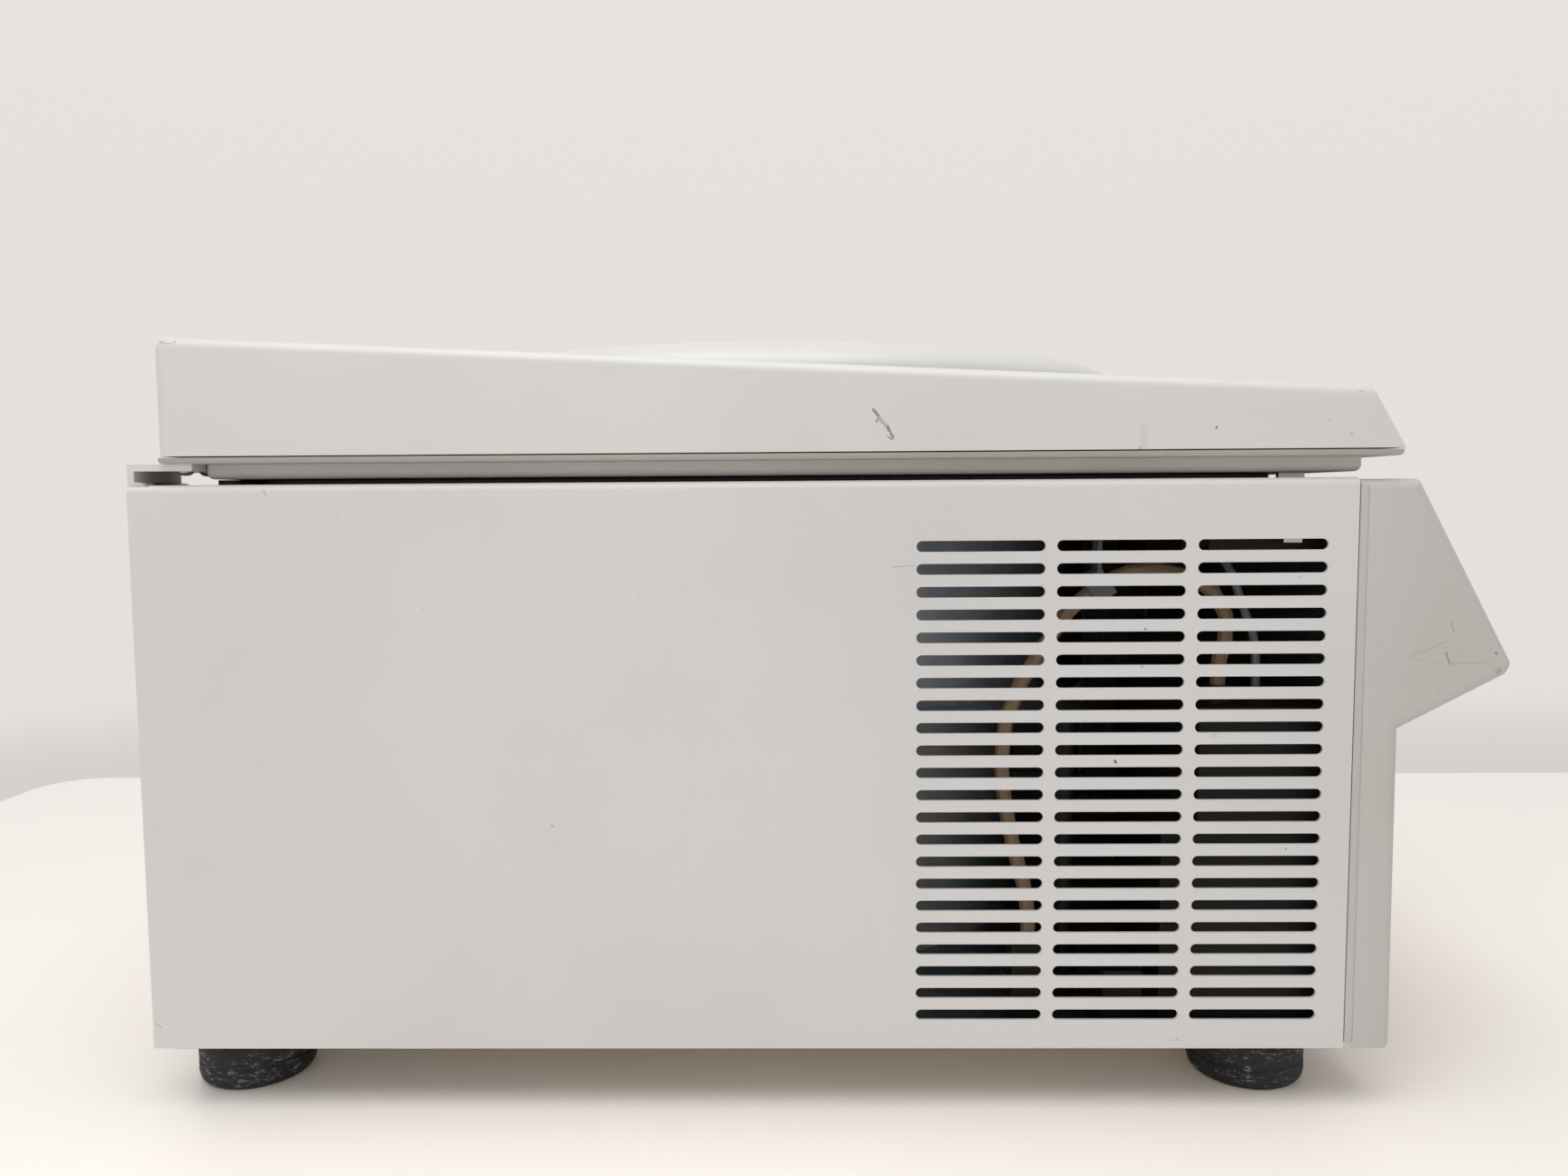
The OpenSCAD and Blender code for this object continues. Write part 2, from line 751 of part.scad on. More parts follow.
module control_overlay() {
    color([0.90, 0.90, 0.89]) on_slope() difference() {
        translate([0, 0, -panel_d]) linear_extrude(overlay_t)
            round_rect(panel_w - 2 * sheet_gap, panel_h - 2 * sheet_gap, 6 - sheet_gap);
        translate([display_x, 0, -panel_d - cut]) linear_extrude(panel_d + cut)
            square([display_w + 2 * sheet_gap, display_h + 2 * sheet_gap], center = true);
        for (i = [0:3]) {
            translate([button_place(i), button_y, -panel_d - cut])
                cylinder(h = panel_d + cut, d = button_d + 2 * button_gap);
        }
    }
}

module display_window() {
    color([0.06, 0.08, 0.10]) on_slope() translate([display_x, 0, -panel_d])
        linear_extrude(overlay_t) square([display_w, display_h], center = true);
}

module control_board() {
    color([0.10, 0.32, 0.20]) on_slope() {
        translate([0, 0, -board_depth - board_t])
            linear_extrude(board_t) round_rect(panel_w - 6, panel_h - 6, 3);
        translate([display_x, 0, -board_depth - board_t / 2])
            linear_extrude(board_depth - console_wall) square([display_w - 9, display_h - 9], center = true);
    }
}

// A push button whose flange is held under the console's wall
module button(i, tint) {
    flange_z = console_wall + 0.1;
    color(tint) on_slope() translate([button_place(i), button_y, 0]) {
        translate([0, 0, -flange_z - 1]) cylinder(h = flange_z + 0.8, d = button_d);
        translate([0, 0, -flange_z - 1.3]) cylinder(h = 1.3, d = button_d + 4);
    }
}

module start_button() {
    button(0, [0.25, 0.62, 0.36]);
}

module stop_button() {
    button(1, [0.78, 0.20, 0.16]);
}

module pulse_button() {
    button(2, [0.55, 0.57, 0.60]);
}

module lid_button() {
    button(3, [0.55, 0.57, 0.60]);
}

// A rubber foot with a waisted side and a recess for its screw
module foot(x, f) {
    r = foot_d / 2;
    color(rubber_black) translate([x, -f, 0]) rotate_extrude() polygon([[8, 0], [r - 2.5, 0], [r, 3],
        [r, pan_low - 7], [r - 1.5, pan_low - 5], [r - 1.5, pan_low], [screw_d / 2 + 0.1, pan_low],
        [screw_d / 2 + 0.1, pan_low - 9], [8, pan_low - 9]]);
}

module foot_front_left() {
    foot(-half_w + foot_inset, foot_front);
}

module foot_front_right() {
    foot(half_w - foot_inset, foot_front);
}

module foot_rear_left() {
    foot(-half_w + foot_inset, -foot_rear);
}

module foot_rear_right() {
    foot(half_w - foot_inset, -foot_rear);
}

module foot_screws() {
    color(steel) for (p = foot_places()) {
        translate([p[0], -p[1], pan_low - 9 - 3]) {
            cylinder(h = 3, r = 6);
            cylinder(h = 12 + sheet_t, d = screw_d);
        }
    }
}

module deck_gasket() {
    l = gasket_front + gasket_rear;
    w = casing_w - 2 * gasket_inset;
    middle = (gasket_front - gasket_rear) / 2;
    color(rubber_black) translate([0, -middle, deck_top]) linear_extrude(gasket_h) difference() {
        round_rect(w, l, 22);
        round_rect(w - 2 * gasket_w, l - 2 * gasket_w, 22 - gasket_w);
    }
}

module lid_bumpers() {
    back = lid_rear - liner_inset;
    color(rubber_black) for (x = [-1, 1]) {
        translate([x * (half_w - gasket_inset - bumper_l / 2), back - bumper_w / 2 - 1, deck_top])
            linear_extrude(gasket_h) round_rect(bumper_l, bumper_w, 3);
    }
}

module bowl() {
    outer = bowl_r + bowl_t;
    color(bright_steel) translate([0, -axis_forward, 0]) rotate_extrude() polygon(concat(
        [[seal_hole_r, bowl_low]],
        corner_arc([seal_hole_r, bowl_low], [outer, bowl_low], [outer, deck_top], 10),
        [[outer, deck_top], [outer + bowl_rim, deck_top], [outer + bowl_rim, deck_top + 1.2],
        [bowl_r, deck_top + 1.2]],
        corner_arc([bowl_r, deck_top], [bowl_r, bowl_floor], [seal_hole_r, bowl_floor], 10 - bowl_t),
        [[seal_hole_r, bowl_floor]]));
}

module guard_ring() {
    color(steel) translate([0, -axis_forward, bowl_low]) difference() {
        cylinder(h = ring_h, r = ring_r + ring_t);
        translate([0, 0, -cut]) cylinder(h = ring_h + 2 * cut, r = ring_r);
    }
}

module chamber_plate() {
    r = post_d / 2 + 6;
    color(steel) translate([0, -axis_forward, plate_low]) difference() {
        union() {
            linear_extrude(chamber_plate_t) round_rect(2 * (post_x + r), 2 * (post_y + r), r);
            cylinder(h = chamber_plate_t, r = ring_r + ring_t);
        }
        translate([0, 0, -cut]) cylinder(h = chamber_plate_t + 2 * cut, r = seal_hole_r);
    }
}

module chamber_posts() {
    color(steel) translate([0, -axis_forward, pan_top]) for (x = [-1, 1], y = [-1, 1]) {
        translate([x * post_x, y * post_y, 0]) cylinder(h = shroud_h, d = post_d);
    }
}

module drive_shroud() {
    color([0.55, 0.60, 0.66]) translate([0, -axis_forward, pan_top]) difference() {
        cylinder(h = shroud_h, r = shroud_r);
        translate([0, 0, -cut]) cylinder(h = shroud_h + 2 * cut, r = shroud_r - shroud_t);
    }
}

module motor_plate() {
    color(steel) translate([0, -axis_forward, motor_plate_low]) difference() {
        cylinder(h = motor_plate_t, r = motor_plate_r);
        translate([0, 0, -cut]) cylinder(h = motor_plate_t + 2 * cut, r = bearing_d / 2);
    }
}

module motor_dampers() {
    r = damper_d / 2;
    waist = r * 0.75;
    color(rubber_black) translate([0, -axis_forward, pan_top]) for (a = [45:90:315]) {
        rotate(a) translate([motor_plate_r - r - 4, 0, 0]) rotate_extrude() polygon([[0, 0], [r, 0],
            [r, damper_h * 0.2], [waist, damper_h * 0.4], [waist, damper_h * 0.6],
            [r, damper_h * 0.8], [r, damper_h], [0, damper_h]]);
    }
}

module motor_housing() {
    inner = motor_r - motor_wall;
    color([0.35, 0.37, 0.40]) translate([0, -axis_forward, motor_low]) difference() {
        cylinder(h = motor_h, r = motor_r);
        translate([0, 0, motor_wall]) cylinder(h = motor_h - 2 * motor_wall, r = inner);
        translate([0, 0, -cut]) cylinder(h = motor_h + 2 * cut, r = shaft_d / 2 + 2);
        for (z = [motor_wall - 3, motor_h - motor_wall - 3]) {
            translate([0, 0, z]) cylinder(h = 6, r = bearing_d / 2);
        }
    }
}

// Heights of the two bearing seats
function bearing_places() = [motor_low + motor_wall - 3, motor_top - motor_wall + 3 - bearing_w];

module motor_bearings() {
    color(bright_steel) translate([0, -axis_forward, 0]) for (z = bearing_places()) {
        translate([0, 0, z]) difference() {
            cylinder(h = bearing_w, d = bearing_d);
            translate([0, 0, -cut]) cylinder(h = bearing_w + 2 * cut, r = shaft_d / 2 + fit_gap);
        }
    }
}

module motor_winding() {
    color([0.66, 0.38, 0.20]) translate([0, -axis_forward, winding_low]) difference() {
        cylinder(h = winding_top - winding_low, r = motor_r - motor_wall);
        translate([0, 0, -cut]) cylinder(h = winding_top - winding_low + 2 * cut, r = core_r + air_gap);
    }
}

module drive_shaft() {
    color(bright_steel) translate([0, -axis_forward, shaft_low])
        cylinder(h = shaft_top - shaft_low, d = shaft_d);
}

module motor_core() {
    color(steel) translate([0, -axis_forward, winding_low + 1]) difference() {
        cylinder(h = winding_top - winding_low - 2, r = core_r);
        translate([0, 0, -cut]) cylinder(h = winding_top - winding_low, d = shaft_d);
    }
}

module shaft_seal() {
    color(rubber_black) translate([0, -axis_forward, 0]) rotate_extrude() polygon([
        [shaft_d / 2 + 0.4, plate_low], [seal_hole_r, plate_low], [seal_hole_r, bowl_floor],
        [shaft_d / 2 + 5, bowl_floor + 8], [shaft_d / 2 + 0.4, bowl_floor + 8]]);
}

// Yoke: a hub and cross bar that carry two arms with pivot pins facing inwards
module rotor_yoke() {
    arm_l = 2 * (pivot_r + arm_reach);
    arm_out = arm_inner + arm_t;
    color([0.72, 0.74, 0.77]) translate([0, -axis_forward, 0]) {
        difference() {
            union() {
                translate([0, 0, hub_low]) cylinder(h = hub_h, r = hub_r);
                translate([-arm_out + cut, -16, pivot_z - arm_h / 2]) cube([2 * (arm_out - cut), 32, arm_h]);
            }
            translate([0, 0, hub_low - cut]) cylinder(h = hub_h + 2 * cut, d = shaft_d);
        }
        for (s = [-1, 1]) {
            translate([s * (arm_inner + arm_t / 2), 0, pivot_z]) rotate([90, 0, 90])
                translate([0, 0, -arm_t / 2]) linear_extrude(arm_t) round_rect(arm_l, arm_h, 8);
            for (y = [-pivot_r, pivot_r]) {
                translate([s * pin_middle, y, pivot_z]) rotate([0, 90, 0])
                    cylinder(h = pin_l, d = pivot_d, center = true);
            }
        }
    }
}

module rotor_nut() {
    z = hub_top + 0.3;
    color(dark) translate([0, -axis_forward, z]) difference() {
        union() {
            cylinder(h = nut_h, d = nut_d);
            cylinder(h = 3, d = nut_d + 8);
        }
        translate([0, 0, -cut]) cylinder(h = nut_h - 3 + cut, r = shaft_d / 2 + fit_gap);
    }
}

// A plate carrier: a tray that hangs from two bored bosses
module carrier(s) {
    color([0.20, 0.30, 0.46]) translate([0, -axis_forward - s * pivot_r, pivot_z]) difference() {
        union() {
            difference() {
                translate([-carrier_out_x, -carrier_out_y, -carrier_depth])
                    cube([2 * carrier_out_x, 2 * carrier_out_y, carrier_depth]);
                translate([-carrier_in_x, -carrier_in_y, -carrier_depth + carrier_t])
                    cube([2 * carrier_in_x, 2 * carrier_in_y, carrier_depth]);
                translate([-carrier_in_x, -carrier_out_y - cut, -carrier_depth + carrier_lip])
                    cube([2 * carrier_in_x, 2 * (carrier_out_y + cut), carrier_depth]);
                translate([0, 0, -carrier_depth - cut]) linear_extrude(carrier_t + 2 * cut)
                    round_rect(2 * carrier_in_x - 40, 2 * carrier_in_y - 30, 8);
            }
            for (x = [-1, 1]) {
                translate([x * (carrier_out_x - carrier_t / 2 + boss_l / 2), 0, 0]) rotate([0, 90, 0])
                    cylinder(h = boss_l + carrier_t, r = boss_r, center = true);
            }
        }
        for (x = [-1, 1]) {
            translate([x * (carrier_out_x + boss_l), 0, 0]) rotate([0, 90, 0])
                cylinder(h = 2 * boss_l, r = pivot_d / 2 + fit_gap, center = true);
        }
    }
}

module carrier_front() {
    carrier(1);
}

module carrier_rear() {
    carrier(-1);
}

// Corner points of the lid cover's side profile, clockwise from the lower rear
function lid_points() = [[-lid_rear, tray_top], [-lid_rear, tray_top + lid_rear_h],
    [lid_tip - lid_bevel, tray_top + lid_front_h], [lid_tip, tray_top + 0.8], [lid_tip - 0.8, tray_top]];

module lid_cover() {
    outline = lid_points();
    inner = drawn_in(outline, lid_wall);
    slope_out = [for (i = [0:4]) inner[i] - [0, i == 0 || i == 4 ? lid_wall + cut : 0]];
    color(lid_paint) difference() {
        union() {
            across(casing_w) polygon(rounded(outline, [0, lid_edge_r, 6, 0, 0]));
            translate([0, -axis_forward, 0]) rotate_extrude($fn = 96) polygon(concat(
                [[0, tray_top + 10], [dome_r, tray_top + 10]],
                dome_shoulder_points(0), [[0, tray_top + dome_h]]));
        }
        across(casing_w - 2 * lid_wall) polygon([slope_out[0], inner[1], inner[2],
            [inner[3][0], tray_top + lid_wall], [inner[3][0], tray_top - cut]]);
        translate([0, -axis_forward, 0]) rotate_extrude($fn = 96) polygon(concat(
            [[0, tray_top + 12], [dome_r - lid_wall, tray_top + 12]],
            dome_shoulder_points(lid_wall), [[0, tray_top + dome_h - lid_wall]]));
    }
}

// Points of the bulge's rounded shoulder, drawn in by a wall
function dome_shoulder_points(t) = [for (a = [0:15:90])
    [dome_r - dome_shoulder + (dome_shoulder - t) * cos(a),
    tray_top + dome_h - dome_shoulder_h + (dome_shoulder_h - t) * sin(a)]];

module lid_tray() {
    l = lid_rear + tray_front;
    middle = (tray_front - lid_rear) / 2;
    color(tray_grey) translate([0, -middle, tray_low]) linear_extrude(tray_t) difference() {
        square([casing_w, l], center = true);
        square([casing_w - 100, l - 110], center = true);
    }
}

module lid_liner() {
    color([0.62, 0.62, 0.61]) difference() {
        block([-liner_half, liner_half], [-liner_rear, liner_front], [liner_low, tray_low]);
        block([-liner_half + liner_t, liner_half - liner_t],
            [-liner_rear + liner_t, liner_front - liner_t], [liner_low + liner_t, tray_low + cut]);
    }
}

// Two plates under the lid, each with a window for a latch finger
module lid_strikers() {
    window_z = finger_z;
    color(bright_steel) for (x = [-striker_x, striker_x]) {
        difference() {
            block([x - striker_t / 2, x + striker_t / 2],
                [striker_forward - striker_w / 2, striker_forward + striker_w / 2],
                [striker_low, liner_low]);
            block([x - striker_t, x + striker_t],
                [striker_forward - finger_w / 2 - 1.5, striker_forward + finger_w / 2 + 1.5],
                [window_z - finger_h / 2 - 2, window_z + finger_h / 2 + 2]);
        }
    }
}

// A hinge bracket: a flange under the tray, a rear wall and two knuckles
module hinge_bracket(s) {
    out = hinge_out;
    x = s > 0 ? [out - hinge_w, out] : [-out, -out + hinge_w];
    middle_l = hinge_w - 2 * knuckle_l;
    bracket_flange_end = bracket_back - hinge_flange;
    color(steel) difference() {
        union() {
            block(x, [-bracket_back, -bracket_flange_end], [bracket_top - hinge_t, bracket_top]);
            block(x, [-bracket_back, -bracket_back + hinge_t], [hinge_z, bracket_top]);
            translate([x[0], hinge_rear, hinge_z]) rotate([0, 90, 0]) cylinder(h = hinge_w, d = knuckle_d);
        }
        translate([s * hinge_mid, hinge_rear, hinge_z]) rotate([0, 90, 0])
            cylinder(h = middle_l + 2 * knuckle_play, d = knuckle_d + 1.2, center = true);
        translate([x[0] - cut, hinge_rear, hinge_z]) rotate([0, 90, 0])
            cylinder(h = hinge_w + 2 * cut, r = hinge_pin_d / 2 + fit_gap);
        for (p = hinge_screw_places()) {
            translate([s * hinge_mid + p[0], p[1], bracket_top - hinge_t - cut])
                cylinder(h = hinge_t + 2 * cut, d = screw_d + 0.2);
        }
    }
}

// Places of a bracket's two screws, sideways from its middle and to the rear
function hinge_screw_places() = [for (x = [-1, 1]) [x * hinge_w / 4, lid_rear - 6]];

module hinge_bracket_left() {
    hinge_bracket(-1);
}

module hinge_bracket_right() {
    hinge_bracket(1);
}

module hinge_screws() {
    color(bright_steel) for (s = [-1, 1], p = hinge_screw_places()) {
        translate([s * hinge_mid + p[0], p[1], bracket_top - hinge_t]) {
            translate([0, 0, -screw_head_h]) cylinder(h = screw_head_h, d = screw_head_d);
            cylinder(h = hinge_t, d = screw_d);
        }
    }
}

// Knuckles on the rear panel that take the hinge pins
module hinge_mounts() {
    middle_l = hinge_w - 2 * knuckle_l;
    web_h = 26;
    color(steel) for (s = [-1, 1]) {
        translate([s * hinge_mid, 0, 0]) difference() {
            union() {
                translate([0, hinge_rear, hinge_z]) rotate([0, 90, 0])
                    cylinder(h = middle_l, d = knuckle_d, center = true);
                block([-middle_l / 2, middle_l / 2], [-hinge_rear, -panel_rear],
                    [hinge_z - web_h, hinge_z]);
            }
            translate([0, hinge_rear, hinge_z]) rotate([0, 90, 0])
                cylinder(h = middle_l + 2 * cut, r = hinge_pin_d / 2, center = true);
        }
    }
}

module hinge_pins() {
    color(bright_steel) for (s = [-1, 1]) {
        translate([s * hinge_mid, hinge_rear, hinge_z]) rotate([0, 90, 0])
            cylinder(h = hinge_w, d = hinge_pin_d, center = true);
    }
}

// Latch bar with two fingers that slide into the strikers' windows
module latch_bar() {
    left = -side_in + 4.5;
    right = side_in - latch_travel - 4.5;
    color(bright_steel) {
        block([left, right], [bar_forward, bar_forward + bar_w], [bar_low, bar_low + bar_h]);
        for (x = [-striker_x, striker_x]) {
            arm = x - finger_reach - latch_travel - 6;
            block([arm, arm + 6], [bar_forward, striker_forward + finger_w / 2],
                [finger_z - finger_h / 2, finger_z + finger_h / 2]);
            block([arm, x - finger_reach], [striker_forward - finger_w / 2, striker_forward + finger_w / 2],
                [finger_z - finger_h / 2, finger_z + finger_h / 2]);
        }
        block([plunger_x, plunger_x + 8], [bar_forward, bar_forward + bar_w], [plunger_z - 5, bar_low + 1]);
        translate([plunger_x, -bar_forward - bar_w / 2, plunger_z]) rotate([0, -90, 0])
            cylinder(h = 30, r = plunger_r);
    }
}

module latch_guides() {
    middle = bar_forward + bar_w / 2;
    color(dark) for (s = [-striker_x, striker_x], d = guide_offsets) {
        x = s + d;
        difference() {
            block([x, x + cheek_t], [guide_back, bulkhead_in], [guide_low, deck_low]);
            block([x - cut, x + cheek_t + cut],
                [middle - bar_w / 2 - bar_gap, middle + bar_w / 2 + bar_gap],
                [bar_low - bar_gap, bar_low + bar_h + bar_gap]);
            block([x - cut, x + cheek_t + cut], [guide_back + 6, middle - bar_w / 2 - 5],
                [guide_low + 6, deck_low - 6]);
        }
    }
}

module latch_motor() {
    middle = bar_forward + bar_w / 2;
    x = [plunger_x - latch_motor_gap - latch_motor_l, plunger_x - latch_motor_gap];
    color(dark) difference() {
        union() {
            block(x, [middle - 12, middle + 12], [plunger_z - 12, plunger_z + 10]);
            block([x[0] + 10, x[1] - 10], [middle, bulkhead_in], [plunger_z - 12, plunger_z - 8]);
        }
        translate([x[1] + cut, -middle, plunger_z]) rotate([0, -90, 0])
            cylinder(h = 40, r = plunger_r + 0.4);
    }
}

module drive_box() {
    color(dark) {
        block([-box_out, -box_out + box_w], [box_back, box_front], [box_low, box_top]);
        translate([cable_points[0][0], -cable_points[0][1], box_top - 2])
            cylinder(h = gland_h + 2, r = cable_d / 2 + 3);
    }
}

// A steel bracket under and behind the electronics box, with a turned side lip
module drive_bracket() {
    w = box_w - 20;
    color(bright_steel) {
        block([-box_out, -box_out + w], [box_back - sheet_t, bulkhead_in - sheet_t], [pan_top, box_low]);
        block([-box_out, -box_out + w], [box_back - sheet_t, box_back], [pan_top, pan_top + bracket_h]);
        block([-box_out, -box_out + sheet_t], [box_back - bracket_lip, box_back], [pan_top, pan_top + bracket_h]);
    }
}

module drive_cable() {
    color(beige) tube([for (p = cable_points) [p[0], -p[1], p[2]]], cable_d / 2);
}

module latch_cable() {
    color([0.74, 0.75, 0.76]) tube([for (p = latch_points) [p[0], -p[1], p[2]]], latch_cable_d / 2);
}

// A clip round the cable, hung from the deck by a strap
module cable_clip() {
    color([0.70, 0.70, 0.69]) {
        difference() {
            translate([clip_at[0], -clip_at[1], clip_at[2]]) rotate([clip_tilt, 0, 0])
                cube([cable_d + 5, 10, cable_d + 6], center = true);
            translate([clip_at[0], -clip_at[1], clip_at[2]]) rotate([clip_tilt, 0, 0]) rotate([90, 0, 0])
                cylinder(h = 20, r = cable_d / 2 + 0.6, center = true);
        }
        block([clip_at[0] - 5, clip_at[0] + 5], [clip_at[1] - 1, clip_at[1] + 1],
            [clip_at[2] + cable_d / 2 + 1.5, deck_low]);
    }
}

module terminal_blocks() {
    h = terminal_w / 2;
    color([0.60, 0.61, 0.62]) {
        block([cable_x - h, cable_x + h], [cable_end[1] - h, cable_end[1] + h], [pan_top, cable_end[2]]);
        block([cable_x - h, cable_x + h], [second_terminal[1] - h, second_terminal[1] + h],
            [pan_top, second_terminal[2]]);
    }
}

module fan_frame() {
    front = panel_rear - sheet_t;
    color(dark) translate([fan_x, front, fan_z]) rotate([90, 0, 0]) {
        linear_extrude(fan_depth) difference() {
            round_rect(fan_side, fan_side, 5);
            circle(fan_hole_r);
        }
        translate([0, 0, fan_depth - 3]) {
            linear_extrude(3) difference() {
                circle(16);
                circle(fan_pin_r + fit_gap);
            }
            linear_extrude(3) for (a = [20:120:300]) {
                rotate(a) translate([14, -2]) square([fan_hole_r - 12, 4]);
            }
        }
    }
}

module fan_impeller() {
    front = panel_rear - sheet_t;
    blade_l = fan_hole_r - 19;
    color([0.20, 0.20, 0.21]) translate([fan_x, front - 2, fan_z]) rotate([90, 0, 0]) {
        cylinder(h = fan_depth - 6, r = 17);
        cylinder(h = fan_depth - 2, r = fan_pin_r);
        for (i = [0:fan_blades - 1]) {
            rotate(i * 360 / fan_blades) translate([15, 0, (fan_depth - 6) / 2]) rotate([35, 0, 0])
                translate([0, -1, -9]) cube([blade_l + 2, 2, 18]);
        }
    }
}

module power_entry() {
    body_back = panel_rear - 28;
    color(dark) difference() {
        union() {
            block([entry_x - entry_w / 2, entry_x + entry_w / 2], [-entry_front, -panel_rear],
                [entry_z - entry_h / 2, entry_z + entry_h / 2]);
            block([entry_x - entry_body_w / 2, entry_x + entry_body_w / 2], [-panel_rear, -body_back],
                [entry_z - entry_body_h / 2, entry_z + entry_body_h / 2]);
        }
        block([entry_x - 12.2, entry_x + 12.2], [-entry_front - cut, -entry_front + inlet_d],
            [inlet_z - 8.2, inlet_z + 8.2]);
        block([switch_x - switch_w / 2 - switch_gap, switch_x + switch_w / 2 + switch_gap],
            [-entry_front - cut, -entry_front + 10],
            [switch_z - switch_h / 2 - switch_gap, switch_z + switch_h / 2 + switch_gap]);
        translate([switch_x, switch_y, switch_z]) rotate([0, 90, 0])
            cylinder(h = switch_w + 6, r = 1.5 + fit_gap, center = true);
        block([fuse_x - fuse_w / 2 - sheet_gap, fuse_x + fuse_w / 2 + sheet_gap],
            [-entry_front - cut, -entry_front + 24],
            [switch_z - fuse_h / 2 - sheet_gap, switch_z + fuse_h / 2 + sheet_gap]);
    }
    color(bright_steel) for (p = [[-7, 0], [0, 2], [7, 0]]) {
        block([entry_x + p[0] - 1, entry_x + p[0] + 1], [-entry_front + 4, -entry_front + inlet_d + 0.5],
            [inlet_z + p[1] - 2.5, inlet_z + p[1] + 2.5]);
    }
}

// A rocker that tilts about a pin across the power entry
module mains_switch() {
    h = switch_h / 2;
    color([0.06, 0.06, 0.06]) {
        translate([switch_x, switch_y, switch_z]) rotate([90, 0, 90]) translate([0, 0, -switch_w / 2])
            linear_extrude(switch_w) polygon([[-3, -h + 2], [3.5, -h], [4.8, -h], [3.5, 0], [4.8, h],
                [3.5, h], [-3, h - 2]]);
        translate([switch_x, switch_y, switch_z]) rotate([0, 90, 0])
            cylinder(h = switch_w + 5, r = 1.5, center = true);
    }
}

module fuse_drawer() {
    color([0.16, 0.16, 0.17]) {
        block([fuse_x - fuse_w / 2, fuse_x + fuse_w / 2], [-entry_front - 1.2, -entry_front + 23.7],
            [switch_z - fuse_h / 2, switch_z + fuse_h / 2]);
    }
}

module case_screws() {
    color(bright_steel) for (p = rear_screw_places()) {
        translate([p[0], panel_rear, p[1]]) {
            rotate([-90, 0, 0]) cylinder(h = screw_head_h, d = screw_head_d);
            rotate([90, 0, 0]) cylinder(h = sheet_t + 2, d = screw_d);
        }
    }
}

placed() casing();
placed() base_pan();
placed() rear_panel();
placed() front_bulkhead();
placed() front_console();
placed() control_overlay();
placed() display_window();
placed() control_board();
placed() start_button();
placed() stop_button();
placed() lid_button();
placed() pulse_button();
placed() foot_front_left();
placed() foot_front_right();
placed() foot_rear_left();
placed() foot_rear_right();
placed() foot_screws();
placed() deck_gasket();
placed() lid_bumpers();
placed() bowl();
placed() guard_ring();
placed() chamber_plate();
placed() chamber_posts();
placed() drive_shroud();
placed() motor_plate();
placed() motor_dampers();
placed() motor_housing();
placed() motor_winding();
placed() motor_bearings();
placed() drive_shaft();
placed() motor_core();
placed() shaft_seal();
placed() rotor_yoke();
placed() rotor_nut();
placed() carrier_front();
placed() carrier_rear();
placed() lid_cover();
placed() lid_tray();
placed() lid_liner();
placed() lid_strikers();
placed() hinge_bracket_left();
placed() hinge_bracket_right();
placed() hinge_screws();
placed() hinge_mounts();
placed() hinge_pins();
placed() latch_bar();
placed() latch_guides();
placed() latch_motor();
placed() drive_box();
placed() drive_bracket();
placed() drive_cable();
placed() latch_cable();
placed() cable_clip();
placed() terminal_blocks();
placed() fan_frame();
placed() fan_impeller();
placed() power_entry();
placed() mains_switch();
placed() fuse_drawer();
placed() case_screws();
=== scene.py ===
import math
import bmesh
import bpy
from mathutils import Matrix, Vector


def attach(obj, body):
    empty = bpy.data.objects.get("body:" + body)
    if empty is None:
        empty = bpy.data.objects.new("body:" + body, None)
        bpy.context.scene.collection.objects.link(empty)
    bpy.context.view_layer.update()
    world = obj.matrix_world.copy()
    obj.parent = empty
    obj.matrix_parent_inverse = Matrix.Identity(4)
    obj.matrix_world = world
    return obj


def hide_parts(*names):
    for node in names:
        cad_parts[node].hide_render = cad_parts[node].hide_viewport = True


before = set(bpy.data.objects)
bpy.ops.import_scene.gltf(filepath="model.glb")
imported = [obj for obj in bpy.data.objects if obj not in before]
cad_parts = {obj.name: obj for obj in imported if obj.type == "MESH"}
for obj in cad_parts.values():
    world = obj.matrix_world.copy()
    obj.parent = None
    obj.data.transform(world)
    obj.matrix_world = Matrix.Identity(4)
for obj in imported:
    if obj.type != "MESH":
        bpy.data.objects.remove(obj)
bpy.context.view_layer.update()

# ---------------------------------------------------------------- viewpoint
# The machine is seen from its left side, a little above its deck, from about
# half a metre away with a wide lens.
viewer = bpy.data.objects.new("viewer", bpy.data.cameras.new("viewer"))
bpy.context.scene.collection.objects.link(viewer)
bpy.context.scene.camera = viewer
yaw, pitch, roll = (math.radians(a) for a in (-0.807, 4.505, -0.397))
ahead = Vector((math.cos(yaw) * math.cos(pitch), -math.sin(yaw) * math.cos(pitch), -math.sin(pitch)))
level = Vector((-math.sin(yaw), -math.cos(yaw), 0))
overhead = level.cross(ahead)
right = level * math.cos(roll) + overhead * math.sin(roll)
above = overhead * math.cos(roll) - level * math.sin(roll)
viewer.matrix_world = (Matrix.Translation((-0.753, 0.0078, 0.2762))
                       @ Matrix((right, above, -ahead)).transposed().to_4x4())
viewer.data.sensor_width = 36
viewer.data.lens = 27.083
bpy.context.scene.view_settings.view_transform = "Standard"


# ---------------------------------------------------------------- bench and light
# A white bench top that ends behind the machine, with a pale wall beyond it, under
# broad soft room light from the ceiling and from the viewer's side.
def tint(red, green, blue):
    """A colour from the three numbers an image file holds, as light."""
    return tuple((c / 255 / 12.92 if c <= 10 else ((c / 255 + 0.055) / 1.055) ** 2.4)
                 for c in (red, green, blue)) + (1,)


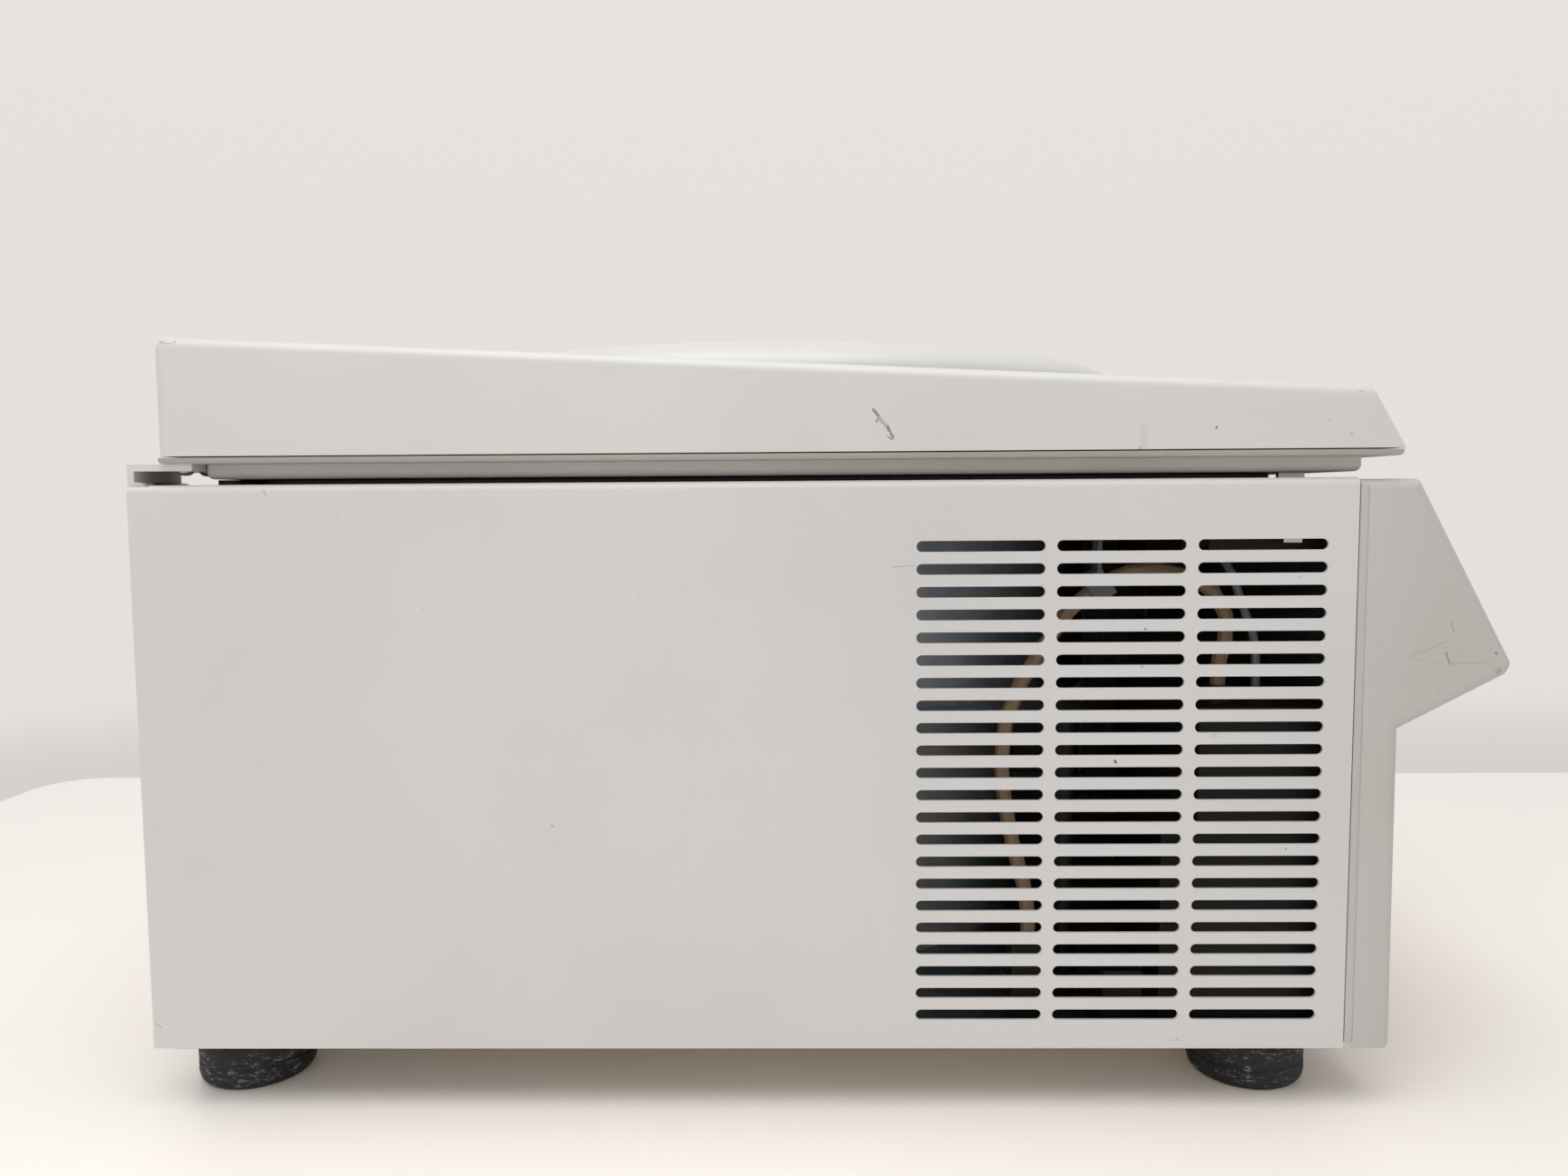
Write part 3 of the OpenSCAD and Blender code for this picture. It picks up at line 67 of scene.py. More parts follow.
class Term:
    """A number or colour inside a material, on which Python's operators add nodes."""

    def __init__(self, finish, node, out=0):
        self.finish, self.owner = finish, node
        self.socket = node.outputs[out] if node.outputs else None

    def other(self, out):
        return Term(self.finish, self.owner, out)

    def sum(self, operation, *values):
        return self.finish.node("Math", {"operation": operation}, *values)

    def __add__(self, value):
        return self.sum("ADD", self, value)

    def __sub__(self, value):
        return self.sum("SUBTRACT", self, value)

    def __rsub__(self, value):
        return self.sum("SUBTRACT", value, self)

    def __mul__(self, value):
        return self.sum("MULTIPLY", self, value)

    __radd__, __rmul__ = __add__, __mul__


class Finish:
    """One material, built node by node."""

    def __init__(self, name, tree=None):
        if tree is None:
            self.material = bpy.data.materials.new(name)
            self.material.use_nodes = True
            tree = self.material.node_tree
        self.tree = tree
        self.tree.nodes.clear()

    def node(self, kind, settings, *values, out=0, **named):
        node = self.tree.nodes.new("ShaderNode" + kind)
        for key, setting in settings.items():
            setattr(node, key, setting)
        links = list(enumerate(values)) + [(key.replace("_", " "), v) for key, v in named.items()]
        for key, value in links:
            if isinstance(value, Term):
                self.tree.links.new(value.socket, node.inputs[key])
            elif value is not None:
                node.inputs[key].default_value = value
        return Term(self, node, out)

    def place(self):
        return self.node("TexCoord", {}, out="Object")

    def cloud(self, where, scale, detail=3.0, roughness=0.5):
        return self.node("TexNoise", {}, Vector=where, Scale=scale, Detail=detail, Roughness=roughness)

    def stretched(self, where, factors):
        return self.node("VectorMath", {"operation": "MULTIPLY"}, where, factors)

    def between(self, value, low, high):
        """0 up to low and 1 from high on, with a soft passage."""
        return self.node("MapRange", {"interpolation_type": "SMOOTHSTEP"}, value, low, high, 0.0, 1.0)

    def mixed(self, share, first, second):
        blend = self.node("Mix", {"data_type": "RGBA"}, share, None, None, None, None, None,
                          first, second, out=2)
        return blend

    def streak(self, where, start, end, width, ragged=0.5):
        """1 along a thin line between two points, fading out beside it."""
        start, run = Vector(start), Vector(end) - Vector(start)
        offset = self.node("VectorMath", {"operation": "SUBTRACT"}, where, tuple(start))
        along = self.node("VectorMath", {"operation": "DOT_PRODUCT"}, offset,
                          tuple(run / run.length_squared), out="Value")
        held = self.node("Clamp", {}, along)
        foot = self.node("VectorMath", {"operation": "SCALE"}, tuple(run), Scale=held)
        away = self.node("VectorMath", {"operation": "DISTANCE"}, offset, foot, out="Value")
        frayed = away + (self.cloud(where, 900.0, 2.0) - 0.5) * (width * ragged * 4)
        return 1 - self.between(frayed, width * 0.45, width)

    def relief(self, height, depth, strength):
        return self.node("Bump", {}, Strength=strength, Distance=depth, Height=height, out="Normal")

    def surface(self, **sockets):
        shell = self.node("BsdfPrincipled", {}, **sockets)
        self.node("OutputMaterial", {}, shell)
        return self.material


bench = bpy.data.objects.new("bench", bpy.data.meshes.new("bench"))
bpy.context.scene.collection.objects.link(bench)
bench.data.from_pydata([(-9, -9, 0), (9, -9, 0), (9, 9, 0), (-9, 9, 0)], [], [(0, 1, 2, 3)])
wall_white, top_white = tint(228, 224, 221), tint(249, 244, 239)
rounding_centre, rounding_radius = (0.345, 0.695, 0), 0.050
under_glow, beyond_glow = 0.16, 1.0
look = Finish("bench top")
where = look.place()
wear = look.cloud(where, 2.2, 4.0)
near = look.node("VectorMath", {"operation": "LENGTH"}, look.stretched(where, (2.4, 1.9, 0)), out="Value")
scratch = look.between(look.cloud(look.stretched(where, (6.0, 1.0, 1.0)), 26.0, 6.0, 0.7), 0.70, 0.74)
top_tone = look.mixed(scratch * 0.10, look.mixed(wear, top_white, tint(245, 240, 233)), tint(190, 184, 176))
# A weak warm glow round the machine, which lifts the shadow below it.
coat = look.node("BsdfPrincipled", {}, Base_Color=top_tone, Roughness=0.42,
                 Emission_Color=look.mixed(look.between(near, 0.35, 0.95), tint(206, 176, 136), (0, 0, 0, 1)),
                 Emission_Strength=under_glow)
outside = look.node("VectorMath", {"operation": "SUBTRACT"}, where, rounding_centre)
outside = look.node("VectorMath", {"operation": "MAXIMUM"}, outside, (0, 0, 0))
edge = look.node("VectorMath", {"operation": "LENGTH"}, outside, out="Value") - rounding_radius
floor_tone = look.mixed(look.between(edge, 0.0, 0.55), tint(213, 208, 206), wall_white)
# Beyond the bench's edge the plane glows in the wall's tone, darker just past the edge as painted shade at
# the wall's foot.
wall = look.node("Emission", {}, floor_tone, beyond_glow)
look.node("OutputMaterial", {}, look.node("MixShader", {}, look.between(edge, -0.003, 0.002), coat, wall))
bench.data.materials.append(look.material)

room = bpy.data.worlds.new("room")
room.use_nodes = True
bpy.context.scene.world = room
look = Finish("room", room.node_tree)
seen = look.node("LightPath", {})
direct = seen.other("Is Camera Ray") + seen.other("Is Glossy Ray") + seen.other("Is Transmission Ray")
rise = look.node("SeparateXYZ", {}, look.node("TexCoord", {}, out="Generated"), out="Z")
paper = look.mixed(look.between(rise, -0.05, 0.42), wall_white, tint(230, 226, 223))
glow = look.node("Background", {}, (0.985, 0.992, 1.0, 1), 0.50)
paper_glow = look.node("Background", {}, paper, 1.0)
look.node("OutputWorld", {}, look.node("MixShader", {}, look.node("Clamp", {}, direct), glow, paper_glow))


def lamp(name, position, target, size, power, warmth=(1, 0.992, 0.98)):
    """A square soft lamp aimed at a point."""
    light = bpy.data.objects.new(name, bpy.data.lights.new(name, "AREA"))
    bpy.context.scene.collection.objects.link(light)
    light.data.size, light.data.energy, light.data.color = size, power, warmth
    light.matrix_world = (Matrix.Translation(position)
                          @ (Vector(target) - Vector(position)).to_track_quat("-Z", "Y").to_matrix().to_4x4())


lamp("ceiling light", (-0.7, 0.2, 2.4), (-0.1, 0, 0.2), 2.2, 43)
lamp("side light", (-1.05, 0.42, 0.50), (-0.24, 0.10, 0.13), 0.7, 0.85)


# ---------------------------------------------------------------- casing
# One steel sheet bent over both sides and the deck, coated in light grey powder
# paint with a fine orange-peel skin, rubbed and marked here and there by use.
def paint(name, light, dark, marks=(), peel=1.0, gloss=0.42):
    """Powder coat: broad cloudy tone, faint wiped smears, fine skin and small dark marks."""
    look = Finish(name)
    where = look.place()
    tone = look.cloud(where, 5.0, 4.0, 0.55)
    colour = look.mixed(look.between(tone, 0.35, 0.68), light, dark)
    smear = look.cloud(look.stretched(where, (1.0, 1.0, 0.35)), 16.0, 5.0, 0.6)
    rubbed = look.between(smear, 0.62, 0.80)
    colour = look.mixed(rubbed * 0.22, colour, tuple(c * 0.84 for c in dark[:3]) + (1,))
    specks = look.between(look.cloud(where, 170.0, 1.0), 0.80, 0.815)
    colour = look.mixed(specks * 0.20, colour, tint(140, 137, 132))
    for start, end, width, strength, shade in marks:
        worn = look.streak(where, start, end, width)
        colour = look.mixed(worn * strength, colour, shade)
    skin = look.cloud(where, 1500.0 * peel, 2.0) + look.cloud(where, 420.0 * peel, 2.0) * 0.7
    return look.surface(Base_Color=colour,
                        Roughness=gloss + (tone - 0.5) * 0.10 + rubbed * 0.10,
                        Normal=look.relief(skin, 0.00006, 0.55), Coat_Weight=0.0)


def dressed(finish, *nodes):
    """Gives carried-over nodes their finish."""
    for node in nodes:
        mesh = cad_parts[node].data
        mesh.materials.clear()
        mesh.materials.append(finish)


side = -0.24
ink, pencil, rust = tint(96, 93, 88), tint(150, 147, 141), tint(150, 118, 100)
chalk = tint(240, 239, 237)
casing_paint = paint("casing powder coat", tint(212, 210, 209), tint(206, 204, 203), [
    ((side, 0.2418, 0.2800), (side, 0.2408, 0.2776), 0.0004, 0.6, pencil),
    ((side, -0.0328, 0.2446), (side, -0.0419, 0.2454), 0.00040, 0.5, pencil),
    ((side, -0.1422, 0.2170), (side, -0.1423, 0.2169), 0.0006, 0.8, ink),
    ((side, -0.1409, 0.2003), (side, -0.1410, 0.2001), 0.0005, 0.7, ink),
    ((side, -0.2057, 0.1192), (side, -0.2058, 0.1191), 0.0006, 0.7, ink),
    ((side, -0.1299, 0.1587), (side, -0.1304, 0.1581), 0.0008, 0.95, ink),
    ((side, -0.1313, 0.1586), (side, -0.1315, 0.1584), 0.0005, 0.8, chalk),
    ((side, -0.1731, 0.1701), (side, -0.1733, 0.1699), 0.0024, 0.16, pencil),
    ((side, -0.1591, 0.0318), (side, -0.1594, 0.0317), 0.0007, 0.6, pencil),
    ((side, 0.1190, 0.1304), (side, 0.1188, 0.1302), 0.0006, 0.6, rust),
    ((side, 0.3006, 0.0397), (side, 0.2986, 0.0380), 0.0004, 0.6, pencil)])
dressed(casing_paint, "casing", "rear_panel")


# ---------------------------------------------------------------- lid cover
# A moulded cover with a low round dome over the rotor, rounded along its edges and
# cut back in a bevel at the front. Hollow, and open below, where the tray closes it.
middle = 0.034325


def rounded(points, radii, steps=6):
    """An outline whose corners are rounded, with one radius for each point."""
    outline, count = [], len(points)
    for i, radius in enumerate(radii):
        corner = Vector(points[i])
        if not radius:
            outline.append(corner)
            continue
        a = (Vector(points[i - 1]) - corner).normalized()
        b = (Vector(points[(i + 1) % count]) - corner).normalized()
        half = math.acos(max(-1, min(1, a.dot(b)))) / 2
        centre = corner + (a + b).normalized() * radius / math.sin(half)
        start = corner + a * radius / math.tan(half) - centre
        end = corner + b * radius / math.tan(half) - centre
        sweep = math.acos(max(-1, min(1, start.dot(end) / radius ** 2)))
        turn = 1 if start.cross(end) > 0 else -1
        for k in range(steps + 1):
            t = turn * sweep * k / steps
            outline.append(centre + Vector((start.x * math.cos(t) - start.y * math.sin(t),
                                            start.x * math.sin(t) + start.y * math.cos(t))))
    return outline


def drawn_in(points, wall, edges=None):
    """The same clockwise outline, drawn in by a wall's thickness, along all its edges
    or along the numbered ones."""
    inner, count = [], len(points)
    for i in range(count):
        before, after = (wall if edges is None or e in edges else 0.0 for e in ((i - 1) % count, i))
        d1 = (Vector(points[i]) - Vector(points[i - 1])).normalized()
        d2 = (Vector(points[(i + 1) % count]) - Vector(points[i])).normalized()
        n1, n2 = Vector((d1.y, -d1.x)), Vector((d2.y, -d2.x))
        c = n1.dot(n2)
        shift = n1 * (before - after * c) + n2 * (after - before * c)
        inner.append(Vector(points[i]) + shift / (1 - c * c))
    return inner


def settled(bm, name):
    """Closes a working mesh: normals outwards, smooth where faces nearly agree."""
    bmesh.ops.recalc_face_normals(bm, faces=bm.faces)
    for face in bm.faces:
        face.smooth = True
    mesh = bpy.data.meshes.new(name)
    bm.to_mesh(mesh)
    bm.free()
    mesh.set_sharp_from_angle(angle=math.radians(32))
    return mesh


def across(points, half_width, radii=None, eased=(), radius=0.0, steps=6):
    """A solid from a clockwise side outline of forward distances and heights in mm,
    with rounded corners, and with its side edges eased along the numbered edges."""
    bm = bmesh.new()
    turns = [math.pi / 2 * k / steps for k in range(steps + 1)] if radius else [math.pi / 2]
    half = [(half_width - radius / 1000 * (1 - math.cos(t)), radius * (1 - math.sin(t))) for t in turns]
    rings = []
    for x, inset in [(-x, inset) for x, inset in half] + half[::-1]:
        outline = drawn_in(points, inset, eased) if radius else points
        if radii:
            outline = rounded(outline, [r and max(r - inset, 0.05) for r in radii])
        rings.append([bm.verts.new((x, middle - p[0] / 1000, p[1] / 1000)) for p in outline])
    bm.faces.new(rings[0])
    bm.faces.new(rings[-1])
    for one, following in zip(rings, rings[1:]):
        for i in range(len(one)):
            j = (i + 1) % len(one)
            bm.faces.new((one[i], one[j], following[j], following[i]))
    return bm


def turned(profile, centre, turns=96, facing=Matrix()):
    """A solid turned from a closed profile of radii and heights in metres."""
    bm = bmesh.new()
    rings = []
    for r, z in profile:
        if r < 1e-7:
            rings.append([bm.verts.new((0, 0, z))])
        else:
            rings.append([bm.verts.new((r * math.cos(2 * math.pi * k / turns),
                                        r * math.sin(2 * math.pi * k / turns), z)) for k in range(turns)])
    for i, ring in enumerate(rings):
        following = rings[(i + 1) % len(rings)]
        if len(ring) == 1 and len(following) == 1:
            continue
        for k in range(turns):
            corners = [ring[k % len(ring)], ring[(k + 1) % len(ring)],
                       following[(k + 1) % len(following)], following[k % len(following)]]
            bm.faces.new(list(dict.fromkeys(corners)))
    bmesh.ops.transform(bm, matrix=Matrix.Translation(centre) @ facing, verts=bm.verts)
    return bm


def carved(mesh, others, operation="DIFFERENCE"):
    """The mesh after solids are cut from it or joined to it."""
    body = bpy.data.objects.new("working body", mesh)
    bpy.context.scene.collection.objects.link(body)
    tools = []
    for other in others:
        tool = bpy.data.objects.new("working tool", other)
        bpy.context.scene.collection.objects.link(tool)
        step = body.modifiers.new("step", "BOOLEAN")
        step.operation, step.object, step.solver = operation, tool, "EXACT"
        tools.append(tool)
    made = bpy.data.meshes.new_from_object(body.evaluated_get(bpy.context.evaluated_depsgraph_get()))
    for used in [body] + tools:
        bpy.data.objects.remove(used)
    made.set_sharp_from_angle(angle=math.radians(32))
    return made


def fitted(name, mesh, finish, body, slot, *nodes):
    """Shows a finished mesh as a piece that rides on a body and stands for CAD nodes."""
    piece = bpy.data.objects.new(name, mesh)
    bpy.context.scene.collection.objects.link(piece)
    mesh.materials.clear()
    mesh.materials.append(finish)
    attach(piece, body)
    if nodes:
        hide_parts(*nodes)
    return piece


lid_wall, tray_top, hub = 3.0, 294.8, (0, middle - 0.010, 0)
lid_side = [(-254, tray_top), (-254, tray_top + 52), (273.5, tray_top + 27), (288.9, tray_top)]
cover = settled(across(lid_side, 0.24, [0, 5.5, 9.0, 0], (0, 1, 2), 5.0), "cover")


def shoulder(wall, steps=16):
    return [((174 + (36 - wall) * math.cos(math.pi / 2 * k / steps)) / 1000,
             (334 + (16 - wall) * math.sin(math.pi / 2 * k / steps)) / 1000) for k in range(steps + 1)]


dome = settled(turned([(0, 0.304), (0.210, 0.304)] + shoulder(0) + [(0, 0.350)], hub, 160), "dome")
dome_hollow = settled(turned([(0, 0.306), (0.207, 0.306)] + shoulder(lid_wall) + [(0, 0.347)], hub, 160),
                      "hollow")
inside = drawn_in(lid_side, lid_wall)
inside[0].y = inside[3].y = tray_top - 2
lid_hollow = settled(across(inside, 0.237), "hollow")
cover = carved(carved(cover, [dome], "UNION"), [lid_hollow, dome_hollow])
lid_marks = [
    ((side, -0.0242, 0.3126), (side, -0.0262, 0.3098), 0.0008, 0.75, ink),
    ((side, -0.0262, 0.3098), (side, -0.0252, 0.3074), 0.0006, 0.6, ink),
    ((side, -0.0268, 0.3086), (side, -0.0301, 0.3050), 0.0010, 0.65, pencil),
    ((side, -0.0301, 0.3050), (side, -0.0324, 0.3010), 0.0008, 0.7, ink),
    ((side, -0.0300, 0.3010), (side, -0.0322, 0.2998), 0.0005, 0.6, ink),
    ((side, -0.2157, 0.3212), (side, -0.2355, 0.3204), 0.0005, 0.6, pencil),
    ((side, -0.2355, 0.3204), (side, -0.2354, 0.3190), 0.0005, 0.6, pencil),
    ((side, -0.2354, 0.3190), (side, -0.2316, 0.3188), 0.0005, 0.5, pencil),
    ((side, -0.1713, 0.3039), (side, -0.1714, 0.3037), 0.0007, 0.8, ink),
    ((side, -0.2193, 0.3066), (side, -0.2194, 0.3065), 0.0006, 0.5, pencil),
    ((side, -0.2291, 0.3008), (side, -0.2292, 0.3006), 0.0006, 0.6, pencil),
    ((side, -0.1399, 0.3045), (side, -0.1401, 0.2960), 0.0022, 0.14, pencil),
    ((side, -0.1389, 0.2957), (side, -0.1389, 0.2950), 0.0005, 0.5, ink),
    ((-0.2395, 0.2860, 0.3445), (-0.2395, 0.2780, 0.3440), 0.0012, 0.6, pencil),
    ((-0.2395, 0.2850, 0.3447), (-0.2395, 0.2790, 0.3443), 0.0006, 0.9, chalk)]
cover_finish = paint("lid cover coat", tint(213, 212, 210), tint(208, 206, 204), lid_marks, peel=0.8,
                     gloss=0.38)
fitted("lid_shell", cover, cover_finish, "lid", "lid_moulding", "lid_cover")


# ---------------------------------------------------------------- lid tray and liner
# The smooth tray that closes the cover from below, and the shallow liner under it,
# pressed from plastic with soft lower edges.
def slab(x, u, z, radius, steps=4):
    """A plate from ranges in mm whose lower edges, and upright corners, are eased."""
    bm = bmesh.new()
    bmesh.ops.create_cube(bm, size=1)
    for v in bm.verts:
        v.co = Vector((x[v.co.x > 0] / 1000, middle - u[v.co.y < 0] / 1000, z[v.co.z > 0] / 1000))
    top = z[1] / 1000 - 1e-6
    edges = [e for e in bm.edges if not all(v.co.z > top for v in e.verts)]
    bmesh.ops.bevel(bm, geom=edges, offset=radius / 1000, offset_type="OFFSET", segments=steps,
                    profile=0.5, affect="EDGES", clamp_overlap=True)
    return bm


def moulding(name, light, dark, gloss, grain=900.0, depth=0.00004):
    """Moulded plastic: nearly even colour, a fine sparked skin and softly worn gloss."""
    look = Finish(name)
    where = look.place()
    tone = look.cloud(where, 9.0, 4.0)
    colour = look.mixed(look.between(tone, 0.3, 0.7), light, dark)
    skin = look.cloud(where, grain, 2.0, 0.6)
    return look.surface(Base_Color=colour, Roughness=gloss + (tone - 0.5) * 0.12,
                        Normal=look.relief(skin, depth, 0.6))


tray = carved(settled(slab((-240, 240), (-254, 287), (291.5, 294.2), 2.0), "tray"),
              [settled(slab((-190, 190), (-199, 232), (290, 296), 0.5), "opening")])
tray_finish = moulding("tray moulding", tint(172, 167, 162), tint(164, 159, 153), 0.45)
fitted("lid_tray_plate", tray, tray_finish, "lid", "tray_moulding", "lid_tray")
liner = carved(settled(slab((-226, 226), (-240, 275.5), (285, 291.5), 3.0, steps=5), "liner"),
               [settled(slab((-224, 224), (-238, 273.5), (287, 293), 1.5), "liner hollow")])
# The liner's colour is set light to lift the shade under the lid: painted light.
liner_finish = moulding("liner moulding", tint(222, 218, 214), tint(214, 209, 204), 0.4)
fitted("lid_liner_pan", liner, liner_finish, "lid", "liner_moulding", "lid_liner")


# ---------------------------------------------------------------- front console
# A hollow moulded shell with a sloping control face, fixed in front of the casing
# with a narrow shadow gap. Its side edges are softly rounded.
console_side = [(268.55, 281.5), (294.65, 281.5), (337.45, 200.3), (334.45, 195.5), (288.65, 171.7),
                (289.45, 28), (271.05, 28), (268.55, 30.5)]
shell = settled(across(console_side, 0.24, [0, 3, 4.5, 2.5, 0, 3, 0, 0], range(5), 5.0), "console")
slope_top, slope_tip = Vector((294.65, 281.5)), Vector((337.45, 200.3))
slope_mid = (slope_top + slope_tip) / 2
slope_lean = math.atan2(slope_tip.x - slope_top.x, slope_top.y - slope_tip.y)
panel_frame = (Matrix.Translation((0, middle - slope_mid.x / 1000, slope_mid.y / 1000))
               @ Matrix.Rotation(math.pi / 2 - slope_lean, 4, "X"))


def on_slope(outline, low, high, name="cutter", radius=0.0):
    """A plate on the control face from an outline and two heights over the face, in mm."""
    bm = bmesh.new()
    ring = [bm.verts.new((p[0] / 1000, p[1] / 1000, low / 1000)) for p in outline]
    grown = bmesh.ops.extrude_face_region(bm, geom=[bm.faces.new(ring)])
    for v in grown["geom"]:
        if isinstance(v, bmesh.types.BMVert):
            v.co.z = high / 1000
    bmesh.ops.recalc_face_normals(bm, faces=bm.faces)
    if radius:
        rim = [e for e in bm.edges if all(v.co.z > high / 1000 - 1e-7 for v in e.verts)]
        bmesh.ops.bevel(bm, geom=rim, offset=radius / 1000, offset_type="OFFSET", segments=3,
                        profile=0.5, affect="EDGES")
    bmesh.ops.transform(bm, matrix=panel_frame, verts=bm.verts)
    return settled(bm, name)


def box_outline(w, h, r, x=0.0, y=0.0, steps=6):
    corners = [(x - w / 2, y - h / 2), (x + w / 2, y - h / 2), (x + w / 2, y + h / 2), (x - w / 2, y + h / 2)]
    return rounded(corners, [r] * 4, steps)


def disc_outline(r, x, y, count=64):
    return [(x + r * math.cos(2 * math.pi * k / count), y + r * math.sin(2 * math.pi * k / count))
            for k in range(count)]


button_x = [12, 46, 80, 114]
button_y = -8
inner = drawn_in(console_side, 4.0)
cuts = [settled(across(inner, 0.236), "hollow"),
        settled(slab((-236, 236), (266, 274), (35, 277.5), 0.2), "rear opening"),
        on_slope(box_outline(300, 62, 6), -2.0, 6.0),
        on_slope(box_outline(88, 30, 2, -72, 0), -9.0, 2.0)]
cuts += [on_slope(disc_outline(8.8, x, button_y), -9.0, 2.0) for x in button_x]
cuts += [settled(slab((a, b), (267, 271.95), (30.5, 283), 0.05), "rebate")
         for a, b in ((-242, -239.2), (239.2, 242))]
shell = carved(shell, cuts)
fixings = bmesh.new()
for x in (-200, 200):
    for z in (50, 148):
        bmesh.ops.create_cone(fixings, cap_ends=True, segments=24, radius1=0.006, radius2=0.005,
                              depth=0.0222, matrix=Matrix.Translation((x / 1000, middle - 0.27635, z / 1000))
                              @ Matrix.Rotation(math.pi / 2, 4, "X"))
shell = carved(shell, [settled(fixings, "bosses")], "UNION")
console_marks = [
    ((side, -0.2602, 0.2762), (side, -0.2612, 0.2748), 0.0006, 0.4, pencil),
    ((side, -0.2742, 0.2190), (side, -0.2757, 0.2150), 0.0006, 0.5, pencil),
    ((side, -0.2726, 0.2108), (side, -0.2572, 0.2041), 0.0004, 0.45, pencil),
    ((side, -0.2572, 0.2037), (side, -0.2738, 0.2005), 0.0004, 0.25, pencil),
    ((side, -0.2728, 0.2056), (side, -0.2745, 0.2008), 0.0005, 0.6, ink),
    ((side, -0.2745, 0.2012), (side, -0.2913, 0.2016), 0.0004, 0.45, pencil),
    ((side, -0.2943, 0.2055), (side, -0.2944, 0.2054), 0.0007, 0.8, ink),
    ((side, -0.3011, 0.2015), (side, -0.3012, 0.2014), 0.0006, 0.7, ink),
    ((side, -0.2956, 0.1977), (side, -0.2961, 0.1975), 0.0016, 0.35, ink),
    ((side, -0.2695, 0.1889), (side, -0.2697, 0.1887), 0.0010, 0.25, pencil)]
console_finish = paint("console coat", tint(193, 191, 188), tint(187, 185, 181), console_marks, peel=1.1,
                       gloss=0.5)
fitted("console_shell", shell, console_finish, "base", "console_moulding", "front_console")


# ---------------------------------------------------------------- control face
# A satin printed film let into the slope, with outlined keys, a dark display window
# showing speed and time, and four dished push buttons.
film = carved(on_slope(box_outline(299.6, 61.6, 5.8), -2.0, -0.4, radius=0.15),
              [on_slope(box_outline(96.4, 38.4, 2.2, -72, 0), -4, 2)]
              + [on_slope(disc_outline(8.8, x, button_y), -4, 2) for x in button_x])
film_finish = moulding("overlay film", tint(226, 227, 227), tint(222, 223, 222), 0.35, grain=2200.0,
                       depth=0.00002)
fitted("overlay_sheet", film, film_finish, "base", "overlay_film", "control_overlay")


def printed(name, outlines, low, high, finish, slot, body="base"):
    """Thin printed shapes laid on the control face, all in one piece."""
    bm = bmesh.new()
    for outline in outlines:
        part = on_slope(outline, low, high, "print")
        bm.from_mesh(part)
        bpy.data.meshes.remove(part)
    mesh = bpy.data.meshes.new(name)
    bm.to_mesh(mesh)
    bm.free()
    return fitted(name, mesh, finish, body, slot)


def ring_outlines(r, thick, x, y, count=48):
    """A ring as short printed segments."""
    parts = []
    for k in range(count):
        a, b = 2 * math.pi * k / count, 2 * math.pi * (k + 1) / count
        parts.append([(x + q * math.cos(t), y + q * math.sin(t))
                      for q, t in ((r, a), (r + thick, a), (r + thick, b), (r, b))])
    return parts


def frame_outlines(w, h, thick, x, y):
    """A thin rectangular border as four bars."""
    t = thick / 2
    flat = [[(x - w / 2, y + s * h / 2 - t), (x + w / 2, y + s * h / 2 - t),
             (x + w / 2, y + s * h / 2 + t), (x - w / 2, y + s * h / 2 + t)] for s in (-1, 1)]
    upright = [[(x + s * w / 2 - t, y - h / 2), (x + s * w / 2 + t, y - h / 2),
                (x + s * w / 2 + t, y + h / 2), (x + s * w / 2 - t, y + h / 2)] for s in (-1, 1)]
    return flat + upright


print_finish = moulding("panel print", tint(92, 104, 122), tint(86, 98, 115), 0.4, grain=2200.0)
face_lines = frame_outlines(146, 44, 0.7, 63, 0) + frame_outlines(104, 46, 0.7, -72, 0)
for x in button_x:
    face_lines += ring_outlines(10.6, 0.6, x, button_y)
printed("panel_print", face_lines, -0.42, -0.34, print_finish, "overlay_film")

look = Finish("display glass")
where = look.place()
smudge = look.cloud(where, 40.0, 4.0)
glass = look.surface(Base_Color=look.mixed(smudge, tint(14, 20, 24), tint(20, 27, 32)),
                     Roughness=0.08 + look.between(smudge, 0.5, 0.8) * 0.12)
window = on_slope(box_outline(96, 38, 2, -72, 0), -2.0, -0.4, "window", radius=0.25)
fitted("display_pane", window, glass, "base", "display_glass", "display_window")

look = Finish("lit digits")
glint = look.cloud(look.place(), 900.0, 1.0)
lit = look.surface(Base_Color=look.mixed(glint, tint(120, 220, 190), tint(96, 204, 170)), Roughness=0.4,
                   Emission_Color=look.mixed(glint, tint(120, 230, 196), tint(90, 205, 170)),
                   Emission_Strength=0.8)
bars = {"0": "abcdef", "1": "bc", "2": "abged", "3": "abgcd", "5": "afgcd"}


def digit_outlines(digit, x, y, w=6.0, h=13.0, t=1.4):
    """The lit bars of one seven-bar digit."""
    g = 0.35
    spots = {"a": (0, h / 2, 1), "g": (0, 0, 1), "d": (0, -h / 2, 1), "f": (-w / 2, h / 4, 0),
             "b": (w / 2, h / 4, 0), "e": (-w / 2, -h / 4, 0), "c": (w / 2, -h / 4, 0)}
    shapes = []
    for bar in bars[digit]:
        dx, dy, flat = spots[bar]
        l = (w if flat else h / 2) / 2 - g
        outline = [(-l, 0), (-l + t / 2, -t / 2), (l - t / 2, -t / 2), (l, 0), (l - t / 2, t / 2),
                   (-l + t / 2, t / 2)]
        lean = 0.08
        shapes.append([(x + dx + (p if flat else -q) + lean * (dy + (q if flat else p)),
                        y + dy + (q if flat else p)) for p, q in outline])
    return shapes


digits = []
for k, digit in enumerate("1200"):
    digits += digit_outlines(digit, -112 + k * 9.4, 0)
for k, digit in enumerate("500"):
    digits += digit_outlines(digit, (-59, -44, -34.6)[k], 0)
for dy in (-3, 3):
    digits.append(box_outline(1.5, 1.5, 0.3, -51.5, dy))
printed("display_digits", digits, -0.41, -0.36, lit, "display_glass")

